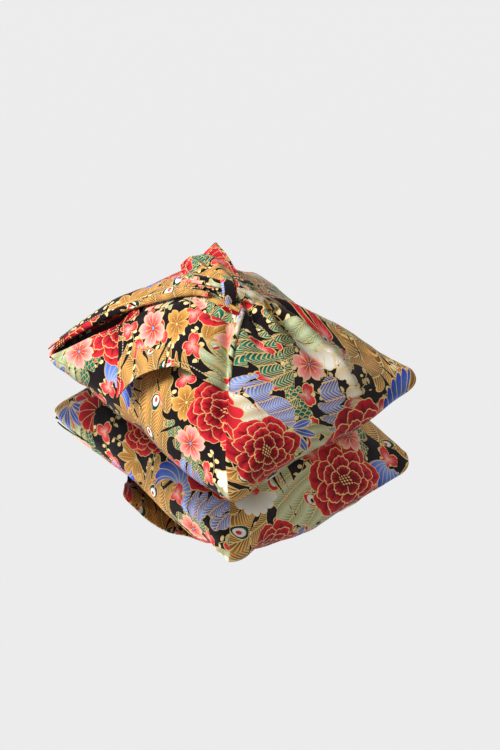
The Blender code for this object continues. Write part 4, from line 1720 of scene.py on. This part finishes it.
# The repeat's width and height, and the motifs on it, in millimetres on the flat cloth
REPEAT = 330.0
OCHRE_PLUMES = (
    Placed(74, 74, 25, 80, 50), Placed(262, 150, 100, 78, 52), Placed(142, 278, 10, 62, 30),
    Placed(300, 30, 70, 60, 30),
)
GREEN_PLUMES = (
    Placed(178, 92, -35, 54, 44), Placed(117, 130, 60, 52, 30), Placed(20, 190, 80, 48, 34),
    Placed(64, 300, 110, 40, 24),
)
BLUE_PLUMES = (
    Placed(314, 268, 118, 40, 13), Placed(44, 250, 95, 36, 12), Placed(190, 20, 60, 40, 14),
)
WHITE_PLUMES = (
    Placed(296, 258, 122, 38, 11), Placed(66, 268, 100, 34, 10), Placed(232, 60, 40, 40, 12),
)
TEAL_PLUMES = (
    Placed(2, 296, 100, 44, 12), Placed(26, 318, 84, 40, 10), Placed(160, 330, 50, 40, 12),
)
SCALE_BANDS = (
    Placed(10, 262, 100, 54, 10), Placed(232, 236, 55, 66, 14), Placed(120, 182, 150, 54, 13),
    Placed(280, 30, 20, 60, 14),
)
PEONIES = (
    Placed(72, 200, 20, 42), Placed(238, 318, 130, 44), Placed(300, 214, 60, 34),
    Placed(106, 22, 250, 34), Placed(196, 232, 300, 30),
)
FANS = (
    Placed(130, 216, 150, 32), Placed(300, 96, 210, 34), Placed(184, 306, 330, 36),
    Placed(60, 212, 60, 26),
)
WHITE_FANS = (
    Placed(196, 196, 60, 30), Placed(60, 300, 200, 26), Placed(316, 150, 120, 24),
    Placed(150, 60, 10, 22),
)
RED_FANS = (
    Placed(168, 168, 240, 26), Placed(266, 258, 20, 30), Placed(16, 60, 300, 30),
    Placed(218, 110, 80, 24),
)
CORAL_BLOSSOMS = (
    Placed(20, 118, 10, 20), Placed(148, 2, 35, 18), Placed(226, 176, 60, 19),
    Placed(36, 286, 75, 18), Placed(108, 166, 20, 19),
)
TAN_BLOSSOMS = (
    Placed(52, 138, 20, 17), Placed(196, 148, 50, 18), Placed(112, 318, 5, 18),
    Placed(270, 290, 35, 15),
)
BLUE_SPRAYS = (
    Placed(146, 142, 100, 24), Placed(228, 22, 200, 24), Placed(0, 222, 300, 22),
    Placed(214, 262, 340, 20),
)
TAN_SPRAYS = (
    Placed(100, 156, 60, 24), Placed(246, 82, 330, 24), Placed(154, 238, 200, 24),
    Placed(40, 20, 150, 22),
)


@dataclass(frozen=True)
class Print:
    """The whole printed design, as a group that takes a place on the flat cloth in metres."""

    name: str = "printed flowers"

    def nearest(self, net: Net, cloth: Wire, rows: Sequence[Placed]) -> tuple[Wire, Wire]:
        """Return the place and distance as the nearest of some placements sees them."""
        best, best_distance = None, None
        half = (REPEAT / 2, REPEAT / 2, 1.0)
        for row in rows:
            moved = net.vector("SUBTRACT", cloth, (row.x, row.y, 0.0))
            inputs = {0: moved, 1: half, 2: tuple(-part for part in half)}
            wrap = net.node("ShaderNodeVectorMath", inputs, operation="WRAP")
            wrapped = Wire(net, wrap.outputs["Vector"])
            local = net.placed(wrapped, math.radians(row.turn), row.size)
            distance = net.vector("LENGTH", local)
            if best is None:
                best, best_distance = local, distance
            else:
                best = net.pick_place(distance < best_distance, best, local)
                best_distance = net.math("MINIMUM", best_distance, distance)
        return best, best_distance

    def scattered(
        self, net: Net, cloth: Wire, pitch: float, radius: float, seed: float, stray: float
    ) -> Wire:
        """Return the place as the nearest of evenly scattered motifs sees it.

        Args:
            net: The net to wire in.
            cloth: The place on the flat cloth, in millimetres.
            pitch: How far apart they are.
            radius: Their radius.
            seed: Which scatter to use.
            stray: How far they stray from an even grid.

        Returns:
            The place, seen from the motif's middle and turned at random.
        """
        grid = net.placed(cloth, seed, (pitch, pitch))
        cell = net.vector("FLOOR", grid)
        seeded = net.vector("ADD", cell, (seed * 10, seed * 17, 0.0))
        random = Wire(net, net.node("ShaderNodeTexWhiteNoise", {"Vector": seeded}).outputs["Color"])
        middle = net.scaled(net.vector("SUBTRACT", random, MID_COLOUR), stray)
        middle = net.vector("ADD", middle, (0.5, 0.5, 0.0))
        local = net.vector("SUBTRACT", net.vector("SUBTRACT", grid, cell), middle)
        local = net.vector("MULTIPLY", local, (pitch / radius, pitch / radius, 0.0))
        turn = {"Vector": local, "Angle": net.parts(random)[2] * (2 * math.pi)}
        turned = net.node("ShaderNodeVectorRotate", turn, rotation_type="Z_AXIS")
        return Wire(net, turned.outputs[0])

    def barbs(self) -> None:
        """Make the group of fine herringbone barbs that fills a plume."""
        settings = (
            ("Place", None),
            ("Deep", Ink.OCHRE_DEEP),
            ("Light", Ink.OCHRE),
            ("Rib", 18.0),
            ("Pitch", 3.1),
        )
        net, given, end = Group("plume barbs", settings, FIELD_OUTPUTS).start()
        x, y, _ = net.parts(net.warp(given["Place"], 0.012, 36.0))
        aside = abs(net.math("FRACT", y / given["Rib"]) - 0.5) * given["Rib"]
        bow = net.math("SINE", aside * 0.5) * 0.25
        line = net.math("FRACT", (x + aside * 1.25) / given["Pitch"] + bow) < 0.3
        colour = net.mix(net.held(aside / given["Rib"], 2.0), given["Deep"], given["Light"])
        net.set(end.inputs["Colour"], colour)
        net.set(end.inputs["Gold"], net.held(line + (aside < 0.45)))

    def scales(self) -> None:
        """Make the group of overlapping round scales that fills a band."""
        settings = (("Place", None), ("Deep", Ink.TEAL_DEEP), ("Light", Ink.TEAL), ("Size", 6.5))
        net, given, end = Group("round scales", settings, FIELD_OUTPUTS).start()
        x, y, _ = net.parts(given["Place"])
        x, y = x / given["Size"], y / given["Size"] * 2
        row = net.math("FLOOR", y)
        nearest = None
        for above in (1, 0, -1):
            shift = net.math("FLOORED_MODULO", row + above, 2.0) * 0.5
            place = net.join(net.math("FRACT", x + shift) - 0.5, (y - row - above) * 0.5)
            distance = net.vector("LENGTH", place)
            nearest = distance if nearest is None else net.pick(distance < 0.56, nearest, distance)
        colour = net.mix(net.held(nearest, 1.6), given["Light"], given["Deep"])
        net.set(end.inputs["Colour"], colour)
        net.set(end.inputs["Gold"], net.near(nearest - 0.52, 0.05))

    def make(self) -> None:
        """Make the motifs' groups and then the whole design's."""
        for motif in (Blossom, Peony, FeatherFan, LeafSpray, BellFlower, RingDot, BerrySprig):
            motif().make()
        self.barbs()
        self.scales()
        net, given, end = Group(self.name, (("Place", None),), FIELD_OUTPUTS).start()
        cloth = net.vector("MULTIPLY", given["Place"], (1 / MM, 1 / MM, 0.0))
        soft = net.warp(cloth, 0.012, 30.0)
        state = (Ink.GROUND, 0.0)

        def lay(below: tuple, drawn: dict[str, Wire], only: Optional[Wire] = None) -> tuple:
            """Lay a motif over what is below it, only where it may show."""
            shape = drawn["Shape"] if only is None else drawn["Shape"] * only
            colour = net.mix(shape, below[0], drawn["Colour"])
            return colour, net.pick(shape, below[1], drawn["Gold"])

        place = self.scattered(net, cloth, 33.0, 16.5, 0.5, 0.2)
        state = lay(state, net.group("berry sprig", place=place))
        place = self.scattered(net, cloth, 37.0, 13.0, 1.1, 0.42)
        state = lay(state, net.group("bell flower", place=place))
        place, _ = self.nearest(net, cloth, TAN_SPRAYS)
        tan = {"leaf": Ink.TAN_DEEP, "vein": Ink.TAN, "fullness": 0.2}
        state = lay(state, net.group("leaf spray", place=place, **tan))
        green = {"deep": Ink.GREEN_DEEP, "light": Ink.GREEN, "rib": 15.0}
        teal = {"deep": Ink.TEAL_DEEP, "light": Ink.TEAL, "rib": 11.0}
        white = {"deep": Ink.GREY, "light": Ink.WHITE, "rib": 12.0}
        blue = {"deep": Ink.BLUE_DEEP, "light": Ink.BLUE, "rib": 13.0}
        for rows, fill, settings, ring, seed in (
            (SCALE_BANDS, "round scales", {}, None, 0.0),
            (GREEN_PLUMES, "plume barbs", green, Ink.CRIMSON, 0.9),
            (OCHRE_PLUMES, "plume barbs", {}, Ink.TEAL_DEEP, 0.2),
            (TEAL_PLUMES, "plume barbs", teal, None, 0.0),
            (WHITE_PLUMES, "plume barbs", white, None, 0.0),
            (BLUE_PLUMES, "plume barbs", blue, None, 0.0),
        ):
            place, distance = self.nearest(net, soft, rows)
            edge = 1.0 + 0.08 * abs(net.math("SINE", net.polar(place)[1] * 9))
            filled = net.group(fill, place=cloth, **settings)
            shape = distance < edge
            gold = net.either(filled["Gold"], net.near(distance - edge + 0.012, 0.016))
            state = lay(state, {"Colour": filled["Colour"], "Shape": shape, "Gold": gold})
            if ring is not None:
                dot = Ink.BLACK if ring is Ink.CRIMSON else Ink.CRIMSON
                spot = self.scattered(net, cloth, 38.0, 9.0, seed, 0.4)
                dots = net.group("ring dot", place=spot, ring=ring, dot=dot)
                state = lay(state, dots, shape * (distance < 0.9))
        tan = {"edge": Ink.TAN, "petal": Ink.TAN_DEEP, "heart": Ink.TAN_DEEP, "eye": Ink.GOLD}
        white = {"outer": Ink.WHITE, "inner": Ink.GREY, "ribs": 14.0, "curl": 0.3}
        red = {"outer": Ink.CRIMSON, "inner": Ink.CRIMSON_DEEP, "ribs": 12.0, "curl": 0.5}
        for rows, group, settings in (
            (BLUE_SPRAYS, "leaf spray", {}),
            (TAN_BLOSSOMS, "blossom", tan),
            (WHITE_FANS, "feather fan", white),
            (RED_FANS, "feather fan", red),
            (FANS, "feather fan", {"ribs": 18.0, "curl": 1.1}),
            (PEONIES, "peony", {}),
            (CORAL_BLOSSOMS, "blossom", {}),
        ):
            place, _ = self.nearest(net, cloth, rows)
            state = lay(state, net.group(group, place=place, **settings))
        net.set(end.inputs["Colour"], state[0])
        net.set(end.inputs["Gold"], state[1])


@dataclass(frozen=True)
class CottonSurface:
    """The cloth's own surface: weave, slow unevenness, and the hem turned along free edges, with
    painted shade along the hem's inner edge and deep in the pocket.

    Attributes:
        hem_step: How steep the turned hem's step is.
        hem_groove_shade_width: Half the width of the shallow groove and painted shade line along
            the hem's inner edge.
        stitch_place: Where the stitches run, as a share of the hem's width.
        stitch_width: Half their width.
        stitch_share: The share of the pitch that each takes.
        dark_share: How much of the colour the painted shade deep in the pocket leaves.
        dark_from: How far in from a free edge the painted shade begins; below 0, beyond it.
    """

    name: str = "cotton surface"
    threads_per_metre: float = 2600.0
    hem_width: float = 0.0065
    hem_step: float = 1400.0
    hem_groove_shade_width: float = 0.0006
    stitch_pitch: float = 0.0032
    stitch_place: float = 0.86
    stitch_width: float = 0.0005
    stitch_share: float = 0.62
    dark_share: float = 0.04
    dark_from: float = -0.001

    def make(self) -> None:
        """Make the group."""
        outputs = (("Shade", "number"), ("Height", "number"), ("Stitch", "number"))
        net, given, end = Group(self.name, (("Place", None), ("Edge", None)), outputs).start()
        turn = self.threads_per_metre * math.pi
        x, y, _ = net.parts(given["Place"])
        over = net.math("SINE", x * turn) * net.math("SINE", y * turn)
        slow = Wire(net, net.noise(given["Place"], 24.0, 3.0).outputs["Fac"])
        rough = Wire(net, net.noise(given["Place"], 420.0, 2.0).outputs["Fac"])
        along, inward, _ = net.parts(given["Edge"])
        step = net.held((self.hem_width - inward) * self.hem_step)
        hem = net.math("SMOOTH_MIN", step, 1.0, 0.2)
        # Painted shade: a thin dark line along the hem's inner edge, also a shallow groove in the
        # bump
        hem_groove_shade = net.near(inward - self.hem_width, self.hem_groove_shade_width)
        on_line = net.near(inward - self.hem_width * self.stitch_place, self.stitch_width)
        stitch = on_line * (net.math("FRACT", along / self.stitch_pitch) < self.stitch_share)
        # Painted shade: where the edge map is below dark_from, deep in the pocket and on the wrong
        # side of the edge folds, the colour keeps only dark_share
        lit = self.dark_share + (1 - self.dark_share) * (inward > self.dark_from)
        net.set(end.inputs["Shade"], (0.86 + slow * 0.2 + rough * 0.08 - hem_groove_shade * 0.3) * lit)
        height = over * 0.05 + slow * 1.6 + rough * 0.12 + hem * 0.35
        height = height - stitch * 0.15 - hem_groove_shade * 0.2
        net.set(end.inputs["Height"], height)
        net.set(end.inputs["Stitch"], stitch)


@dataclass(frozen=True)
class PrintedCotton:
    """The finish of the cloth: the print on plain cotton with gold overprint."""

    name: str = "printed_cotton"
    roughness: float = 0.72
    gold_roughness: float = 0.42
    gold_metal: float = 0.45
    bump_distance: float = 0.0006
    stitch_strength: float = 0.7
    specular: float = 0.22
    sheen: float = 0.04
    sheen_roughness: float = 0.5

    def material(self) -> Material:
        """Make the groups and the material that all the cloth has."""
        Print().make()
        CottonSurface().make()
        material = bpy.data.materials.new(self.name)
        material.use_nodes = True
        net = Net(material.node_tree)
        shader = material.node_tree.nodes["Principled BSDF"]
        place = Wire(net, net.node("ShaderNodeUVMap", uv_map=PRINT_MAP).outputs[0])
        edge = Wire(net, net.node("ShaderNodeUVMap", uv_map=EDGE_MAP).outputs[0])
        design = net.group(Print().name, place=place)
        surface = net.group(CottonSurface().name, place=place, edge=edge)
        colour = net.mix(design["Gold"], design["Colour"], Ink.GOLD)
        colour = net.mix(surface["Stitch"] * self.stitch_strength, colour, Ink.CREAM)
        colour = net.scaled(colour, surface["Shade"])
        net.set(shader.inputs["Base Color"], colour)
        net.set(shader.inputs["Metallic"], design["Gold"] * self.gold_metal)
        gloss = design["Gold"] * (self.roughness - self.gold_roughness)
        net.set(shader.inputs["Roughness"], self.roughness - gloss)
        heights = {"Height": surface["Height"], "Distance": self.bump_distance}
        bump = net.node("ShaderNodeBump", heights)
        net.set(shader.inputs["Normal"], Wire(net, bump.outputs[0]))
        shader.inputs["Specular IOR Level"].default_value = self.specular
        shader.inputs["Sheen Weight"].default_value = self.sheen
        shader.inputs["Sheen Roughness"].default_value = self.sheen_roughness
        return material


# Studio


@dataclass
class Studio:
    """The camera, the soft light and the plain pale floor.

    Attributes:
        pixels_per_unit: Its focal length in pixels of the photograph.
        long_side: The photograph's longer side, in pixels.
        aim_right: How far to the right of the wrap's middle it looks.
        aim_up: How far up the picture from there.
        aim_drop: How far down from there.
        floor_roughness: How rough it is; near 0 it mirrors the wrap, as in the photograph.
        surround_light: How strongly the surround lights the cloth, as a share of how it shows.
    """

    azimuth: float = 48.5
    elevation: float = 38.0
    distance: float = 1.5
    pixels_per_unit: float = 1466.0
    long_side: int = 750
    sensor: float = 36.0
    aim_right: float = 0.020
    aim_up: float = 0.082
    aim_drop: float = 0.069
    floor_half: float = 6.0
    floor_colour: tuple[float, ...] = (0.97, 0.97, 0.97, 1)
    floor_roughness: float = 0.02
    surround_colour: tuple[float, ...] = (0.865, 0.865, 0.865, 1)
    surround_light: float = 0.17
    lamp_size: float = 0.9
    lamp_power: float = 82.0
    lamp_place: Triple = (-0.9, -1.3, 1.5)
    lamp_aim: Triple = (0, 0, 0.05)

    def directions(self) -> tuple[Vector, Vector, Vector]:
        """Return the camera's right, up and backward directions."""
        turn, lift = math.radians(self.azimuth), math.radians(self.elevation)
        level = math.cos(lift)
        back = Vector((math.sin(turn) * level, -math.cos(turn) * level, math.sin(lift)))
        right = Vector((math.cos(turn), math.sin(turn), 0.0))
        return right, back.cross(right), back

    def add_camera(self) -> None:
        """Place the camera at the photograph's angle."""
        right, up, back = self.directions()
        middle = Vector((BOX_MIDDLE[0], BOX_MIDDLE[1], 0.0)) * MM
        aim = right * self.aim_right + up * self.aim_up
        aim = aim - Vector((0.0, 0.0, self.aim_drop)) - middle
        data = bpy.data.cameras.new("camera")
        data.sensor_width = self.sensor
        data.lens = self.pixels_per_unit * self.sensor / self.long_side
        camera = linked("camera", data)
        place = Matrix((right, up, back)).transposed().to_4x4()
        place.translation = aim + back * self.distance
        camera.matrix_world = place
        bpy.context.scene.camera = camera

    def add_floor(self) -> None:
        """Lay the plain pale floor, which has a mirror-like gloss."""
        half = self.floor_half
        mesh = bpy.data.meshes.new("floor")
        corners = [(-half, -half, 0), (half, -half, 0), (half, half, 0), (-half, half, 0)]
        mesh.from_pydata(corners, [], [(0, 1, 2, 3)])
        floor = linked("floor", mesh)
        material = bpy.data.materials.new("pale_glossy_floor")
        material.use_nodes = True
        shader = material.node_tree.nodes["Principled BSDF"]
        shader.inputs["Base Color"].default_value = self.floor_colour
        shader.inputs["Metallic"].default_value = 1.0
        shader.inputs["Roughness"].default_value = self.floor_roughness
        mesh.materials.append(material)

    def add_light(self) -> None:
        """Add the pale surround and one large soft lamp from the front left."""
        world = bpy.data.worlds.new("pale surround")
        bpy.context.scene.world = world
        world.use_nodes = True
        nodes, links = world.node_tree.nodes, world.node_tree.links
        surround = nodes["Background"]
        surround.inputs["Color"].default_value = self.surround_colour
        path = nodes.new("ShaderNodeLightPath")
        strength = nodes.new("ShaderNodeMapRange")
        links.new(path.outputs["Is Diffuse Ray"], strength.inputs["Value"])
        strength.inputs["To Min"].default_value = 1.0
        strength.inputs["To Max"].default_value = self.surround_light
        links.new(strength.outputs["Result"], surround.inputs["Strength"])
        lamp = bpy.data.lights.new("soft lamp", "AREA")
        lamp.shape = "DISK"
        lamp.size = self.lamp_size
        lamp.energy = self.lamp_power
        item = linked("soft lamp", lamp)
        item.location = self.lamp_place
        toward = Vector(item.location) - Vector(self.lamp_aim)
        item.rotation_euler = toward.to_track_quat("Z", "Y").to_euler()
        item.visible_glossy = False

    def build(self) -> None:
        """Set up the whole studio."""
        self.add_camera()
        self.add_floor()
        self.add_light()
        bpy.context.scene.view_settings.view_transform = "Standard"


def main() -> None:
    """Build the studio and then each piece of the wrap."""
    logging.basicConfig(level=logging.INFO, format="%(name)s: %(message)s")
    Studio().build()
    cloth = PrintedCotton().material()
    for piece in cloth_pieces(Bundle()):
        item = piece.build()
        piece.dress(item, cloth)
        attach(item, ROOT)
        LOG.info("%s: %d faces", item.name, len(item.data.polygons))


if __name__ == "__main__":
    main()
